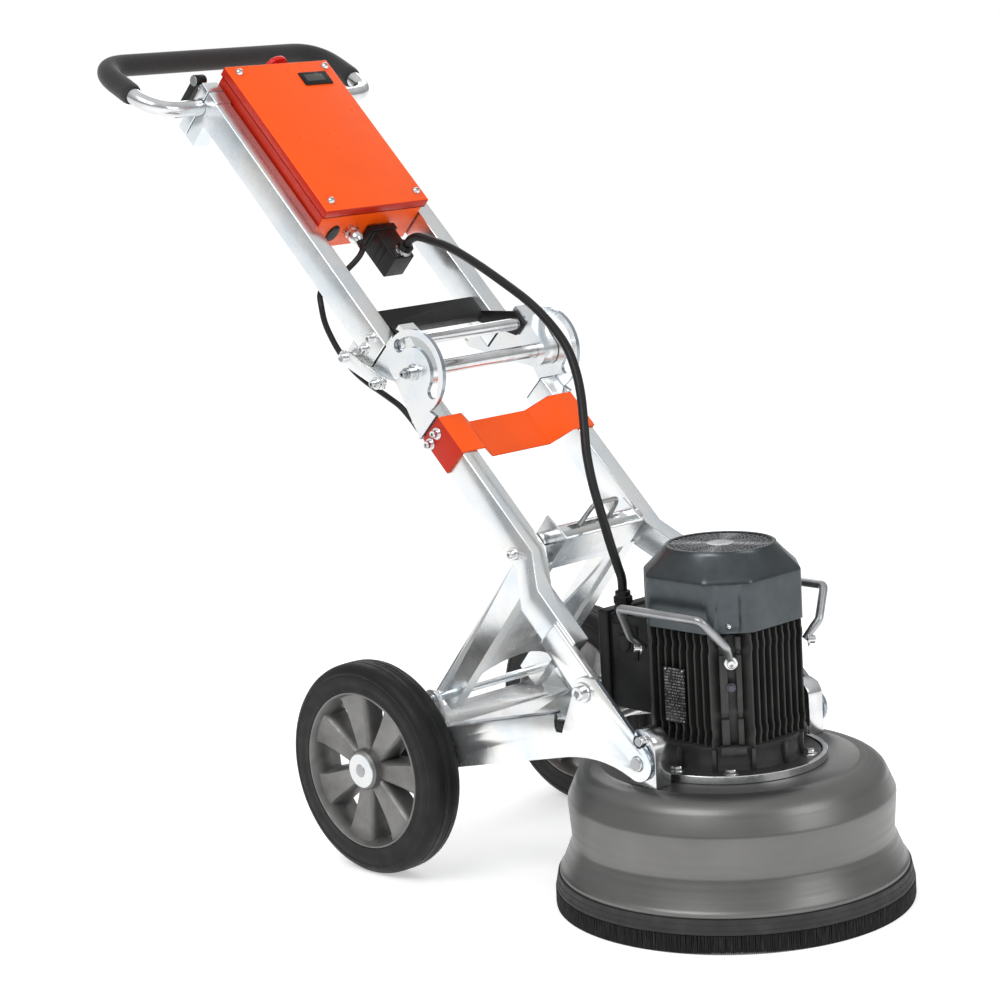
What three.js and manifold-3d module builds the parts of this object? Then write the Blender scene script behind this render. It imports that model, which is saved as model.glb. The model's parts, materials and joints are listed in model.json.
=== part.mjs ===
// Planetary floor grinder with a folding handle frame, two transport wheels and a dust skirt.
// Units are millimetres. +X points from the handle to the grinding head, +Z is up, and the machine is
// mirrored about the XZ plane. The model is built about the head's vertical axis and moved at the end.
import * as THREE from 'three';
import { mergeVertices } from 'three/addons/utils/BufferGeometryUtils.js';
import Module from 'manifold-3d';

const wasm = await Module();
wasm.setup();

// ---------------------------------------------------------------- driving dimensions
const GAP = 0.3; // between pieces that touch
const RUN = 0.35; // radial play of a pin in its hole

// grinding head
const SKIRT_R = 250;
const BRUSH_H = 26;
const BAND_H = 20;
const LIP_R = 241.5;
const WAIST_R = 222.5;
const WAIST_Z = 112;
const SHOULDER_R = 225.5;
const SHOULDER_Z = 160;
const SHROUD_TOP = 197;
const SHROUD_WALL = 3;
const COLLAR_R = 135;
const COLLAR_H = 11;
const CARRIER_R = 200;
const CARRIER_Z = 62;
const CARRIER_T = 16;
const TOOL_R = 86;
const TOOL_ORBIT = 104;
const TOOL_COUNT = 3;
const TOOL_FLOOR_GAP = 2;

// motor
const MOTOR_HALF = 93; // over the fins
const MOTOR_CORNER = 54; // where a fin face meets a corner face
const FIN_DEPTH = 16;
const FIN_COUNT = 9;
const FIN_T = 3.4;
const MOTOR_BASE = 199;
const FINS_LOW = 238;
const COVER_LOW = 396;
const COVER_HALF = 97;
const COVER_CORNER = 52;
const COVER_SHOULDER = 466;
const COVER_TOP = 501;
const COVER_OPENING_R = 70;
const COVER_WALL = 3;
const STATOR_BORE_R = 55;
const ROTOR_R = 48;
const SHAFT_R = 12;
const FAN_R = 72;
const TERMINAL_BACK = 190;
const TERMINAL_HALF = 52;
const TERMINAL_LOW = 252;
const TERMINAL_TOP = 394;
const TERMINAL_LID_T = 20;
const MOTOR_GLAND = { x: -154, y: -35, r: 11, h: 32 };
const PAD_DEPTH = 18;
const PAD_CENTRE = (MOTOR_HALF - FIN_DEPTH + MOTOR_CORNER - 4) / Math.SQRT2 + 4;
const LIFT_BAR = { r: 6, boltZ: 359, out: 36, runZ: 424 };

// tilt joint between chassis and head
const TILT_Z = 231;
const TILT_PIN_R = 10;
const LUG_OUT = 176;
const LUG_T = 30;
const LUG_HALF = 24;
const PEG_R = 6.5;
const PEG_X = 4;
const PEG_Z = 262;

// chassis
const PLATE_IN = 178;
const PLATE_T = 8;
const NOSE_R = 25;
const EAR = { x: -94.5, z: 316, r: 22 };
const EAR_BOLT_R = 8;
const RAIL_DEPTH = 60;
const RAIL_FRONT = { x: -125, z: 252 };
const AXLE_DROP = 11.7; // the axle's depth below the rail's middle line
const RAIL_FLANGE = 30;
const SHEET = 4;
const TIE = { x: -222, z: 230, r: 14 };
const BEAM = { front: -432, back: -524, below: 10.5, above: 49.5 }; // heights from the axle
const BRACKET_T = 8;
const BRACKET_Y = 124;

// wheels
const WHEEL_X = -491;
const WHEEL_R = 156.5;
const TYRE_IN = 191;
const TYRE_W = 58;
const RIM_R = 116;
const AXLE_R = 10;
const HUB_R = 30;
const SPOKE_COUNT = 7;
const RAIL_PITCH = Math.atan((RAIL_FRONT.z - WHEEL_R - AXLE_DROP) / (RAIL_FRONT.x - WHEEL_X));

// handle frame: s runs down the frame towards the head, n stands square to it
const FRAME_PITCH = Math.PI / 4;
const TUBE_IN = 103;
const TUBE_W = 30;
const TUBE_D = 48;
const LOWER_N = 158;
const UPPER_N = 156;
const LOWER_TOP_S = -792;
const JOG_START_S = -508;
const JOG_END_S = -447;
const JOG_OUT = 37;
const LOWER_END_S = -352;
const TUBE_WALL = 4;
const CROSSPIECE = { top: -756, bottom: -689, t: 3 };
const FOLD = { s: -829.4, n: 200, r: 10.75 };
const FOLD_PLATE_T = 6.5;
const FOLD_PLATE_R = 62;
const FOLD_BOLT_R = 6;
const FOLD_SWEEP = THREE.MathUtils.degToRad(163);
const FOLD_SLOT = { inward: 14, outward: 2 };
const UPPER_LOW_S = -900;
const UPPER_TOP_S = -1396;
const LOCK = { s: -879, n: 207, r: 9, travel: 14 };
const LINK = { topS: -940, topN: 111, lowS: -863, lowN: 141, r: 10, t: 6 };
const RELEASE = { top: -973, low: -936, n: 166, lip: 16, t: 3 };

// strut that props the lower frame up
const STRUT_LOW = { x: -460, z: 242, r: 6.5 };
const STRUT_TOP = { x: -247, z: 495 };
const STRUT_OUT = 99;
const STRUT_ARM_W = 40;
const STRUT_ARM_T = 22;
const LATCH_R = 12;
const LATCH_TRAVEL = 10;
const CHANNEL_HALF = 80;

// handlebar and its clamps
const BAR_R = 12.5;
const BAR_S = -1421;
const BAR_N = 150;
const BLOCK_LOW_N = 90;
const BLOCK_TOP_N = 183;
const CAP_END_S = -1441;
const GRIP_R = 17;
const BAR_HALF_W = 222;
const BAR_REACH = 152;
const BAR_LIFT = THREE.MathUtils.degToRad(27);
const BAR_BEND = 55;
const LEVER = { s: -1462, n: 166, r: 10, length: 78 };

// control box
const BOX = { top: -1442.5, bottom: -1133.5, half: 103, n: 212, lid: 15, low: 128, wall: 2.5 };
const STOP = { y: 28, n: 183, r: 20, length: 40, neckR: 12.4, neckEnd: 10 };
const PLUG = { y: 28, n: 148, w: 40, d: 42, length: 73, outletInset: 13, outletH: 15 };
const BOX_GLAND = { y: -30, n: 163, r: 9, nutR: 12, length: 26 };
const CABLE_CLIP = { s: -770, y: -118, n: 124, half: 8, length: 20 };

// cables
const MOTOR_CABLE_R = 6.6;
const CONTROL_CABLE_R = 4.5;

// ---------------------------------------------------------------- finishes
function finish(name, color, roughness, metalness) {
  return new THREE.MeshStandardMaterial({ name, color, roughness, metalness });
}

const ZINC = finish('zinc_steel', 0xc9d0d4, 0.35, 0.9);
const SHROUD_GREY = finish('shroud_metal', 0x8f8f8d, 0.4, 0.8);
const ORANGE = finish('orange_paint', 0xf4511e, 0.4, 0.0);
const MOTOR_PAINT = finish('motor_paint', 0x2e2d2c, 0.5, 0.3);
const COVER_PAINT = finish('cover_paint', 0x3d4245, 0.45, 0.2);
const BLACK = finish('black_plastic', 0x161616, 0.5, 0.0);
const RUBBER = finish('rubber', 0x1b1b1b, 0.8, 0.0);
const FOAM = finish('grip_foam', 0x2b2c2c, 0.9, 0.0);
const CAST_ALUMINIUM = finish('cast_aluminium', 0x9a9a98, 0.5, 0.8);
const BRIGHT_STEEL = finish('bright_steel', 0xb9bcbe, 0.25, 1.0);
const RED = finish('stop_red', 0xd92a1c, 0.35, 0.0);

// ---------------------------------------------------------------- solids
function toSolid(geometry) {
  let g = geometry.clone();
  g.deleteAttribute('normal');
  g.deleteAttribute('uv');
  g = mergeVertices(g, 1e-4);
  return new wasm.Manifold(
    new wasm.Mesh({
      numProp: 3,
      vertProperties: new Float32Array(g.attributes.position.array),
      triVerts: new Uint32Array(g.index.array),
    }),
  );
}

function toGeometry(solid) {
  const mesh = solid.getMesh();
  const g = new THREE.BufferGeometry();
  g.setAttribute('position', new THREE.BufferAttribute(new Float32Array(mesh.vertProperties), 3));
  g.setIndex(new THREE.BufferAttribute(new Uint32Array(mesh.triVerts), 1));
  g.computeVertexNormals();
  return g;
}

function join(...geometries) {
  return toGeometry(geometries.map(toSolid).reduce((all, one) => all.add(one)));
}

function cut(base, ...tools) {
  return toGeometry(tools.map(toSolid).reduce((rest, tool) => rest.subtract(tool), toSolid(base)));
}

// a box given by its two corners
function block(x0, x1, y0, y1, z0, z1) {
  const g = new THREE.BoxGeometry(Math.abs(x1 - x0), Math.abs(y1 - y0), Math.abs(z1 - z0));
  return g.translate((x0 + x1) / 2, (y0 + y1) / 2, (z0 + z1) / 2);
}

// a round bar along Y through (x, z)
function barY(x, z, r, y0, y1, segments = 24) {
  const g = new THREE.CylinderGeometry(r, r, Math.abs(y1 - y0), segments);
  return g.translate(x, (y0 + y1) / 2, z);
}

// a round bar along Z through (x, y)
function barZ(x, y, r, z0, z1, segments = 24) {
  const g = new THREE.CylinderGeometry(r, r, Math.abs(z1 - z0), segments).rotateX(Math.PI / 2);
  return g.translate(x, y, (z0 + z1) / 2);
}

// a flat plate: its outline lies in the XZ plane and it is y0 to y1 thick
function plateY(shape, y0, y1, curveSegments = 10) {
  const depth = Math.abs(y1 - y0);
  const g = new THREE.ExtrudeGeometry(shape, { depth, bevelEnabled: false, curveSegments });
  return g.rotateX(Math.PI / 2).translate(0, Math.max(y0, y1), 0);
}

// a ring or drum turned about Z; the profile is a list of [radius, z]
function turned(profile, segments = 40) {
  const closed = [...profile, profile[0]];
  return new THREE.LatheGeometry(closed.map(([r, z]) => new THREE.Vector2(r, z)), segments).rotateX(
    Math.PI / 2,
  );
}

// a round bar along a smooth or straight-sided path
function rod(path, r, steps, sides = 10) {
  const circle = new THREE.Shape();
  for (let i = 0; i < sides; i += 1) {
    const a = (i / sides) * Math.PI * 2;
    if (i === 0) circle.moveTo(r * Math.cos(a), r * Math.sin(a));
    else circle.lineTo(r * Math.cos(a), r * Math.sin(a));
  }
  return new THREE.ExtrudeGeometry(circle, { steps, bevelEnabled: false, extrudePath: path });
}

// points joined by straight runs, with every inner corner rounded to the given radius
function bentPath(points, radius) {
  const path = new THREE.CurvePath();
  let from = points[0];
  for (let i = 1; i < points.length - 1; i += 1) {
    const corner = points[i];
    const back = points[i - 1].clone().sub(corner).normalize();
    const on = points[i + 1].clone().sub(corner).normalize();
    const reach = radius / Math.tan(back.angleTo(on) / 2);
    const a = corner.clone().addScaledVector(back, reach);
    const b = corner.clone().addScaledVector(on, reach);
    path.add(new THREE.LineCurve3(from, a));
    path.add(new THREE.QuadraticBezierCurve3(a, corner, b));
    from = b;
  }
  path.add(new THREE.LineCurve3(from, points[points.length - 1]));
  return path;
}

// a solid between rings that all have the same number of points
function loft(rings) {
  const count = rings[0].length;
  const vertices = rings.flat().flatMap((p) => [p.x, p.y, p.z]);
  const middle = (ring) => ring.reduce((sum, p) => sum.add(p), new THREE.Vector3()).divideScalar(count);
  const bottom = middle(rings[0]);
  const top = middle(rings[rings.length - 1]);
  vertices.push(bottom.x, bottom.y, bottom.z, top.x, top.y, top.z);
  const bottomIndex = rings.length * count;
  const topIndex = bottomIndex + 1;
  const last = (rings.length - 1) * count;
  const faces = [];
  for (let i = 0; i < count; i += 1) {
    const j = (i + 1) % count;
    for (let k = 0; k < rings.length - 1; k += 1) {
      const a = k * count;
      const b = a + count;
      faces.push(a + i, a + j, b + j, a + i, b + j, b + i);
    }
    faces.push(bottomIndex, j, i, topIndex, last + i, last + j);
  }
  const g = new THREE.BufferGeometry();
  g.setAttribute('position', new THREE.BufferAttribute(new Float32Array(vertices), 3));
  g.setIndex(faces);
  return g;
}

function outline(points) {
  return new THREE.Shape(points.map(([x, y]) => new THREE.Vector2(x, y)));
}

// the octagon that both the motor body and its cover follow
function octagon(half, corner) {
  return outline([
    [half, -corner], [half, corner], [corner, half], [-corner, half],
    [-half, corner], [-half, -corner], [-corner, -half], [corner, -half],
  ]);
}

function prismZ(shape, z0, z1) {
  const g = new THREE.ExtrudeGeometry(shape, { depth: z1 - z0, bevelEnabled: false, curveSegments: 12 });
  return g.translate(0, 0, z0);
}

function mirrorY(geometry) {
  return toGeometry(toSolid(geometry).mirror([0, 1, 0]));
}

const machine = new THREE.Group();
const frame = new THREE.Group();
frame.rotation.y = FRAME_PITCH;
machine.add(frame);

function place(name, geometry, material, parent = machine) {
  const mesh = new THREE.Mesh(geometry, material);
  mesh.name = name;
  parent.add(mesh);
}

// the same piece on both sides: built on the right (-Y) side and mirrored for the left
function placePair(name, geometry, material, parent = machine) {
  place(`${name}_right`, geometry, material, parent);
  place(`${name}_left`, mirrorY(geometry), material, parent);
}

// a point of the frame's (s, n) plane in the machine's (x, z) plane
function frameToMachine(s, n) {
  const c = Math.cos(FRAME_PITCH);
  const k = Math.sin(FRAME_PITCH);
  return { x: s * c + n * k, z: n * c - s * k };
}

// ---------------------------------------------------------------- grinding head
const BAND_TOP = BRUSH_H + GAP + BAND_H;

function skirtBrush() {
  return turned([[SKIRT_R - 13, 0], [SKIRT_R, 0], [SKIRT_R - 2.5, BRUSH_H], [SKIRT_R - 13, BRUSH_H]]);
}

function skirtBand() {
  const low = BRUSH_H + GAP;
  return turned([
    [LIP_R - 9, low], [SKIRT_R - 2, low], [LIP_R + 3, BAND_TOP], [LIP_R - 9, BAND_TOP],
  ]);
}

// the spun steel housing: lip, flare, waist, shoulder and flat top
function shroud() {
  const outer = shroudProfile(0, 4);
  const inner = shroudProfile(SHROUD_WALL, 2);
  return turned([...outer, ...inner.reverse()], 40);
}

// one skin of the housing, inset from the outside and with the given number of steps in each curve
function shroudProfile(inset, steps) {
  const lip = BAND_TOP + GAP;
  const lipTop = lip + 5;
  const points = [[LIP_R - inset, lip]];
  for (let i = 0; i <= steps; i += 1) {
    const t = i / steps;
    const ease = Math.sin((t * Math.PI) / 2);
    points.push([LIP_R - inset + (WAIST_R - LIP_R) * ease, lipTop + (WAIST_Z - lipTop) * t]);
  }
  points.push([SHOULDER_R - inset, WAIST_Z + 14]);
  const fillet = SHROUD_TOP - SHOULDER_Z;
  for (let i = 0; i <= steps; i += 1) {
    const a = (i / steps) * (Math.PI / 2);
    points.push([
      SHOULDER_R - fillet + (fillet - inset) * Math.cos(a),
      SHOULDER_Z + (fillet - inset) * Math.sin(a),
    ]);
  }
  points.push([COLLAR_R - 20, SHROUD_TOP - inset]);
  return points;
}

function collarRing() {
  const low = SHROUD_TOP + GAP;
  const high = low + COLLAR_H;
  return turned([[COLLAR_R - 7, low], [COLLAR_R, low], [COLLAR_R, high], [COLLAR_R - 7, high]]);
}

// the turning plate that carries the three tools, with its hub up to the drive shaft
function planetCarrier() {
  const top = CARRIER_Z + CARRIER_T;
  const plate = barZ(0, 0, CARRIER_R, CARRIER_Z, top, 40);
  const hub = barZ(0, 0, 58, top - 1, 150);
  const bores = toolCentres().map(([x, y]) => barZ(x, y, 16 + RUN, CARRIER_Z - 1, top + 1, 20));
  return cut(join(plate, hub), ...bores, barZ(0, 0, SHAFT_R + RUN, 120, 152, 20));
}

function toolCentres() {
  return Array.from({ length: TOOL_COUNT }, (_, i) => {
    const a = (i / TOOL_COUNT) * Math.PI * 2 + Math.PI / 6;
    return [TOOL_ORBIT * Math.cos(a), TOOL_ORBIT * Math.sin(a)];
  });
}

// a tool holder on its spindle, with metal-bond segments underneath
function toolDisc(x, y) {
  const segmentH = 10;
  const low = TOOL_FLOOR_GAP + segmentH;
  const plateTop = low + 12;
  const pieces = [
    barZ(x, y, TOOL_R, low, plateTop, 28),
    barZ(x, y, 30, plateTop - 1, CARRIER_Z - 3, 24),
    barZ(x, y, 16, CARRIER_Z - 4, CARRIER_Z + CARRIER_T - 2, 20),
  ];
  for (let i = 0; i < 6; i += 1) {
    const segment = block(-12, 12, -8, 8, TOOL_FLOOR_GAP, low + 1).translate(TOOL_R - 18, 0, 0);
    pieces.push(segment.rotateZ((i * Math.PI) / 3).translate(x, y, 0));
  }
  return join(...pieces);
}

// steel lug block on the shroud, with the tilt pin and the stop peg standing out of its face
function tiltLug() {
  const foot = SHROUD_TOP + GAP;
  const archZ = TILT_Z + 21;
  const shape = outline([[-LUG_HALF, foot], [LUG_HALF, foot], [LUG_HALF, archZ]]);
  shape.absarc(0, archZ, LUG_HALF, 0, Math.PI, false);
  const pinEnd = -(PLATE_IN + PLATE_T + 3);
  return join(
    plateY(shape, -LUG_OUT, -LUG_OUT + LUG_T, 8),
    barY(0, TILT_Z, TILT_PIN_R, -LUG_OUT + 5, pinEnd, 20),
    barY(PEG_X, PEG_Z, PEG_R, -LUG_OUT + 5, -(PLATE_IN + PLATE_T), 16),
  );
}

// ---------------------------------------------------------------- motor
function motorBody() {
  const core = MOTOR_HALF - FIN_DEPTH;
  const pieces = [
    prismZ(octagon(core, MOTOR_CORNER - 4), FINS_LOW, COVER_LOW),
    barZ(0, 0, 100, MOTOR_BASE, FINS_LOW + 1, 32),
    barZ(0, 0, COLLAR_R - 8, MOTOR_BASE - 1.4, MOTOR_BASE + 6, 40),
  ];
  const pitch = (2 * MOTOR_CORNER - FIN_T) / (FIN_COUNT - 1);
  for (let side = 0; side < 4; side += 1) {
    for (let i = 0; i < FIN_COUNT; i += 1) {
      const y = -MOTOR_CORNER + i * pitch;
      const fin = block(core - 2, MOTOR_HALF, y, y + FIN_T, FINS_LOW, COVER_LOW - 0.1);
      pieces.push(fin.rotateZ((side * Math.PI) / 2));
    }
    const pad = block(-15, 15, -PAD_DEPTH / 2, PAD_DEPTH / 2, FINS_LOW + 4, COVER_LOW - 12);
    pad.translate(0, PAD_CENTRE, 0).rotateZ(-Math.PI / 4);
    pieces.push(pad.rotateZ((side * Math.PI) / 2));
  }
  const bore = barZ(0, 0, STATOR_BORE_R, FINS_LOW + 4, COVER_LOW + 1, 32);
  const shaftHole = barZ(0, 0, SHAFT_R + 1, MOTOR_BASE - 3, FINS_LOW + 5, 20);
  return cut(join(...pieces), bore, shaftHole);
}

// ring of points around an octagon, 4 to a side, so it can be lofted to a circle
function octagonRing(half, corner, z) {
  const points = octagon(half, corner).getPoints();
  const ring = [];
  for (let i = 0; i < 8; i += 1) {
    const a = points[i];
    const b = points[(i + 1) % 8];
    for (let k = 0; k < 4; k += 1) {
      ring.push(new THREE.Vector3(a.x + ((b.x - a.x) * k) / 4, a.y + ((b.y - a.y) * k) / 4, z));
    }
  }
  return ring;
}

function circleRing(like, r, z) {
  return like.map((p) => {
    const a = Math.atan2(p.y, p.x);
    return new THREE.Vector3(r * Math.cos(a), r * Math.sin(a), z);
  });
}

function fanCover() {
  const low = COVER_LOW + GAP;
  const outer = octagonRing(COVER_HALF, COVER_CORNER, low);
  const shell = loft([
    outer,
    octagonRing(COVER_HALF, COVER_CORNER, COVER_SHOULDER),
    circleRing(outer, COVER_OPENING_R + 6, COVER_TOP),
  ]);
  const inner = octagonRing(COVER_HALF - COVER_WALL, COVER_CORNER - 1.2, low - 1);
  const hollow = loft([
    inner,
    octagonRing(COVER_HALF - COVER_WALL, COVER_CORNER - 1.2, COVER_SHOULDER - 1.5),
    circleRing(inner, COVER_OPENING_R + 2, COVER_TOP - 5),
  ]);
  return cut(shell, hollow, barZ(0, 0, COVER_OPENING_R, COVER_TOP - 8, COVER_TOP + 1, 32));
}

// drive shaft, rotor drum and cooling fan, all on one shaft
function rotor() {
  const fanZ = COVER_LOW + 30;
  const pieces = [
    barZ(0, 0, SHAFT_R, 124, fanZ + 26, 20),
    barZ(0, 0, ROTOR_R, FINS_LOW + 22, COVER_LOW - 20, 24),
    barZ(0, 0, 30, fanZ - 4, fanZ + 24, 20),
    barZ(0, 0, FAN_R, fanZ - 4, fanZ, 32),
  ];
  for (let i = 0; i < 8; i += 1) {
    pieces.push(block(20, FAN_R - 3, -1.5, 1.5, fanZ - 1, fanZ + 20).rotateZ((i * Math.PI) / 4));
  }
  return join(...pieces);
}

function terminalBox() {
  const back = -(TERMINAL_BACK - TERMINAL_LID_T) + GAP;
  const front = -MOTOR_HALF - GAP;
  const half = TERMINAL_HALF - 3;
  const shell = block(back, front, -half, half, TERMINAL_LOW + 4, TERMINAL_TOP - 3);
  const room = terminalRoom(back - 1, front - 6);
  const plug = barY(-140, TERMINAL_TOP - 42, 12, -TERMINAL_HALF - 3, -TERMINAL_HALF + 4, 20);
  const { x, y, r, h } = MOTOR_GLAND;
  const seat = TERMINAL_TOP - 4;
  const gland = [barZ(x, y, r + 2.5, seat, seat + 10, 6), barZ(x, y, r, seat + 9, seat + h, 20)];
  return join(cut(shell, room), plug, ...gland);
}

function terminalLid() {
  const back = -TERMINAL_BACK;
  const front = back + TERMINAL_LID_T;
  const lid = block(back, front, -TERMINAL_HALF, TERMINAL_HALF, TERMINAL_LOW, TERMINAL_TOP);
  return cut(lid, terminalRoom(back + 4, front + 1));
}

function terminalRoom(x0, x1) {
  const half = TERMINAL_HALF - 8;
  return block(x0, x1, -half, half, TERMINAL_LOW + 10, TERMINAL_TOP - 9);
}

// a bent bar bolted to two corners of the motor for lifting the machine
function liftHandle() {
  const { r, boltZ, out, runZ } = LIFT_BAR;
  const bolt = (PAD_CENTRE + PAD_DEPTH / 2 + r + 2 * RUN) / Math.SQRT2;
  const runY = MOTOR_HALF + out;
  const path = bentPath(
    [
      new THREE.Vector3(bolt, -bolt, boltZ),
      new THREE.Vector3(bolt + 10, -bolt - 20, boltZ + 25),
      new THREE.Vector3(bolt - 5, -runY, runZ),
      new THREE.Vector3(-bolt + 5, -runY, runZ),
      new THREE.Vector3(-bolt - 6, -bolt - 20, boltZ + 18),
      new THREE.Vector3(-bolt, -bolt, boltZ),
    ],
    9,
  );
  return rod(path, r, 22, 8);
}

// ---------------------------------------------------------------- chassis
function railPoint(x, side) {
  const z = RAIL_FRONT.z + (x - RAIL_FRONT.x) * Math.tan(RAIL_PITCH);
  return z + (side * RAIL_DEPTH) / 2 / Math.cos(RAIL_PITCH);
}

// side rail: profiled plate with the ear, the nose round the tilt pin and two inward flanges
function sideRail() {
  const rear = WHEEL_X - 34;
  const notchBack = -152;
  const notchFront = -135;
  const shape = new THREE.Shape();
  shape.moveTo(rear, railPoint(rear, -1));
  shape.lineTo(-150, railPoint(-150, -1));
  shape.quadraticCurveTo(-70, railPoint(-60, -1), -NOSE_R * 0.5, TILT_Z - NOSE_R * 0.866);
  shape.absarc(0, TILT_Z, NOSE_R, -Math.PI * (2 / 3), Math.PI / 4, false);
  const tangent = NOSE_R / Math.SQRT2;
  const earTop = EAR.z + EAR.r - 1;
  shape.lineTo(TILT_Z + 2 * tangent - earTop, earTop);
  shape.lineTo(EAR.x + 4, EAR.z + EAR.r);
  shape.absarc(EAR.x + 4, EAR.z, EAR.r, Math.PI / 2, Math.PI, false);
  shape.lineTo(notchFront, 262);
  shape.lineTo(notchFront - 3, 253);
  shape.lineTo(notchBack + 3, 253);
  shape.lineTo(notchBack, 260);
  shape.lineTo(notchBack - 1, railPoint(notchBack, 1));
  shape.lineTo(rear, railPoint(rear, 1));
  const out = -(PLATE_IN + PLATE_T);
  const pieces = [plateY(shape, out, -PLATE_IN, 8)];
  for (const side of [-1, 1]) {
    const edge = (x) => railPoint(x, side);
    const t = -side * SHEET;
    const front = -176;
    const flange = outline([
      [rear, edge(rear)], [front, edge(front)], [front, edge(front) + t], [rear, edge(rear) + t],
    ]);
    pieces.push(plateY(flange, -(PLATE_IN - RAIL_FLANGE), -(PLATE_IN + 2)));
  }
  const pinHole = barY(0, TILT_Z, TILT_PIN_R + RUN, out - 1, -PLATE_IN + 1, 20);
  const pegHole = barY(PEG_X, PEG_Z, PEG_R + 2.6, out - 1, -PLATE_IN + 1, 20);
  const boltHole = barY(EAR.x, EAR.z, EAR_BOLT_R + RUN, out - 1, -PLATE_IN + 1, 20);
  const axleHole = barY(WHEEL_X, WHEEL_R, AXLE_R + RUN, out - 1, -PLATE_IN + 1, 20);
  return cut(join(...pieces), pinHole, pegHole, boltHole, axleHole);
}

// box-section cross member at the axle, with the two brackets that carry the strut's rod
function rearBeam() {
  const half = PLATE_IN - GAP;
  const clear = PLATE_IN - RAIL_FLANGE - GAP;
  const { front, back } = BEAM;
  const low = WHEEL_R - BEAM.below;
  const top = WHEEL_R + BEAM.above;
  const tube = cut(
    block(back, front, -clear, clear, low, top),
    block(back + SHEET, front - SHEET, SHEET - clear, clear - SHEET, low + SHEET, top - SHEET),
  );
  const { x, z } = STRUT_LOW;
  const bracketShape = outline([[x - 26, top - 2], [x + 34, top - 2], [x + 14, z + 8]]);
  bracketShape.absarc(x, z, 15, 0.5, Math.PI, false);
  const pieces = [tube];
  for (const side of [-1, 1]) {
    pieces.push(plateY(bracketShape, side * BRACKET_Y, side * (BRACKET_Y + BRACKET_T), 8));
    pieces.push(block(back + 14, front - 14, side * (clear - 3), side * half, low + 14, top - 16));
  }
  return cut(
    join(...pieces),
    barY(WHEEL_X, WHEEL_R, AXLE_R + RUN, -half - 1, half + 1, 20),
    barY(STRUT_LOW.x, STRUT_LOW.z, STRUT_LOW.r + RUN, -half, half, 16),
  );
}

function axle() {
  const end = TYRE_IN + TYRE_W + 2;
  return barY(WHEEL_X, WHEEL_R, AXLE_R, -end, end, 20);
}

function tieBar() {
  return barY(TIE.x, TIE.z, TIE.r, -PLATE_IN + GAP, PLATE_IN - GAP, 20);
}

function earBolt() {
  const out = PLATE_IN + PLATE_T;
  return join(
    barY(EAR.x, EAR.z, EAR_BOLT_R, -(PLATE_IN - 14), -(out + 3), 20),
    barY(EAR.x, EAR.z, 14, -(out + GAP), -(out + 3), 20),
    barY(EAR.x, EAR.z, 9, -(out + 2.5), -(out + 12), 20),
  );
}

// ---------------------------------------------------------------- wheels
function aboutWheelAxis(geometry) {
  return geometry.rotateX(Math.PI / 2).translate(WHEEL_X, -(TYRE_IN + TYRE_W / 2), WHEEL_R);
}

function tyre() {
  const h = TYRE_W / 2;
  const inner = RIM_R + GAP;
  return aboutWheelAxis(
    turned([
      [inner, -h], [WHEEL_R - 12, -h], [WHEEL_R - 3, -h + 6], [WHEEL_R, -h + 14],
      [WHEEL_R, h - 14], [WHEEL_R - 3, h - 6], [WHEEL_R - 12, h], [inner, h],
    ], 32),
  );
}

// cast centre: rim, hub and spokes
function wheelCentre() {
  const h = TYRE_W / 2;
  const rimT = 8;
  const rim = turned([[RIM_R - rimT, -h], [RIM_R, -h], [RIM_R, h], [RIM_R - rimT, h]], 32);
  const pieces = [rim, barZ(0, 0, HUB_R, -h, h, 24)];
  for (let i = 0; i < SPOKE_COUNT; i += 1) {
    const tip = RIM_R - rimT + 3;
    const spoke = outline([[HUB_R - 5, -15], [tip, -23], [tip, 23], [HUB_R - 5, 15]]);
    pieces.push(prismZ(spoke, -5, 7).rotateZ((i / SPOKE_COUNT) * Math.PI * 2));
  }
  const bore = barZ(0, 0, AXLE_R + RUN, -h - 1, h + 1, 20);
  return aboutWheelAxis(cut(join(...pieces), bore));
}

// ---------------------------------------------------------------- lower frame
function tubeBox(s0, s1, middle, y0 = -TUBE_IN - TUBE_W, y1 = -TUBE_IN) {
  return block(s0, s1, y0, y1, middle - TUBE_D / 2, middle + TUBE_D / 2);
}

// rectangular tube that steps outwards, ending in the tongue on the chassis ear
function lowerArm() {
  const low = LOWER_N - TUBE_D / 2;
  const skin = prismZ(armPlan(LOWER_TOP_S, 0), low, low + TUBE_D);
  const hollow = prismZ(armPlan(LOWER_TOP_S - 1, TUBE_WALL), low + TUBE_WALL, low + TUBE_D - TUBE_WALL);
  const ear = machineToFrame(EAR.x, EAR.z);
  const tongueR = EAR.r - 1;
  const tongue = outline([[LOWER_END_S - 40, ear.n - tongueR], [ear.s, ear.n - tongueR]]);
  tongue.absarc(ear.s, ear.n, tongueR, -Math.PI / 2, Math.PI / 2, false);
  tongue.lineTo(LOWER_END_S - 40, ear.n + tongueR);
  const face = -(PLATE_IN - 1.2);
  return cut(
    join(cut(skin, hollow), plateY(tongue, face, face + 12, 10)),
    barY(ear.s, ear.n, EAR_BOLT_R + RUN, face - 1, face + 13, 20),
  );
}

// the arm seen square to the frame, from its open top end to its foot, with every wall moved in
function armPlan(topS, inset) {
  const inY = -TUBE_IN - inset;
  const outY = -(TUBE_IN + TUBE_W) + inset;
  return outline([
    [topS, inY], [topS, outY], [JOG_START_S, outY],
    [JOG_END_S, outY - JOG_OUT], [LOWER_END_S - inset, outY - JOG_OUT],
    [LOWER_END_S - inset, inY - JOG_OUT], [JOG_END_S, inY - JOG_OUT], [JOG_START_S, inY],
  ]);
}

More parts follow.
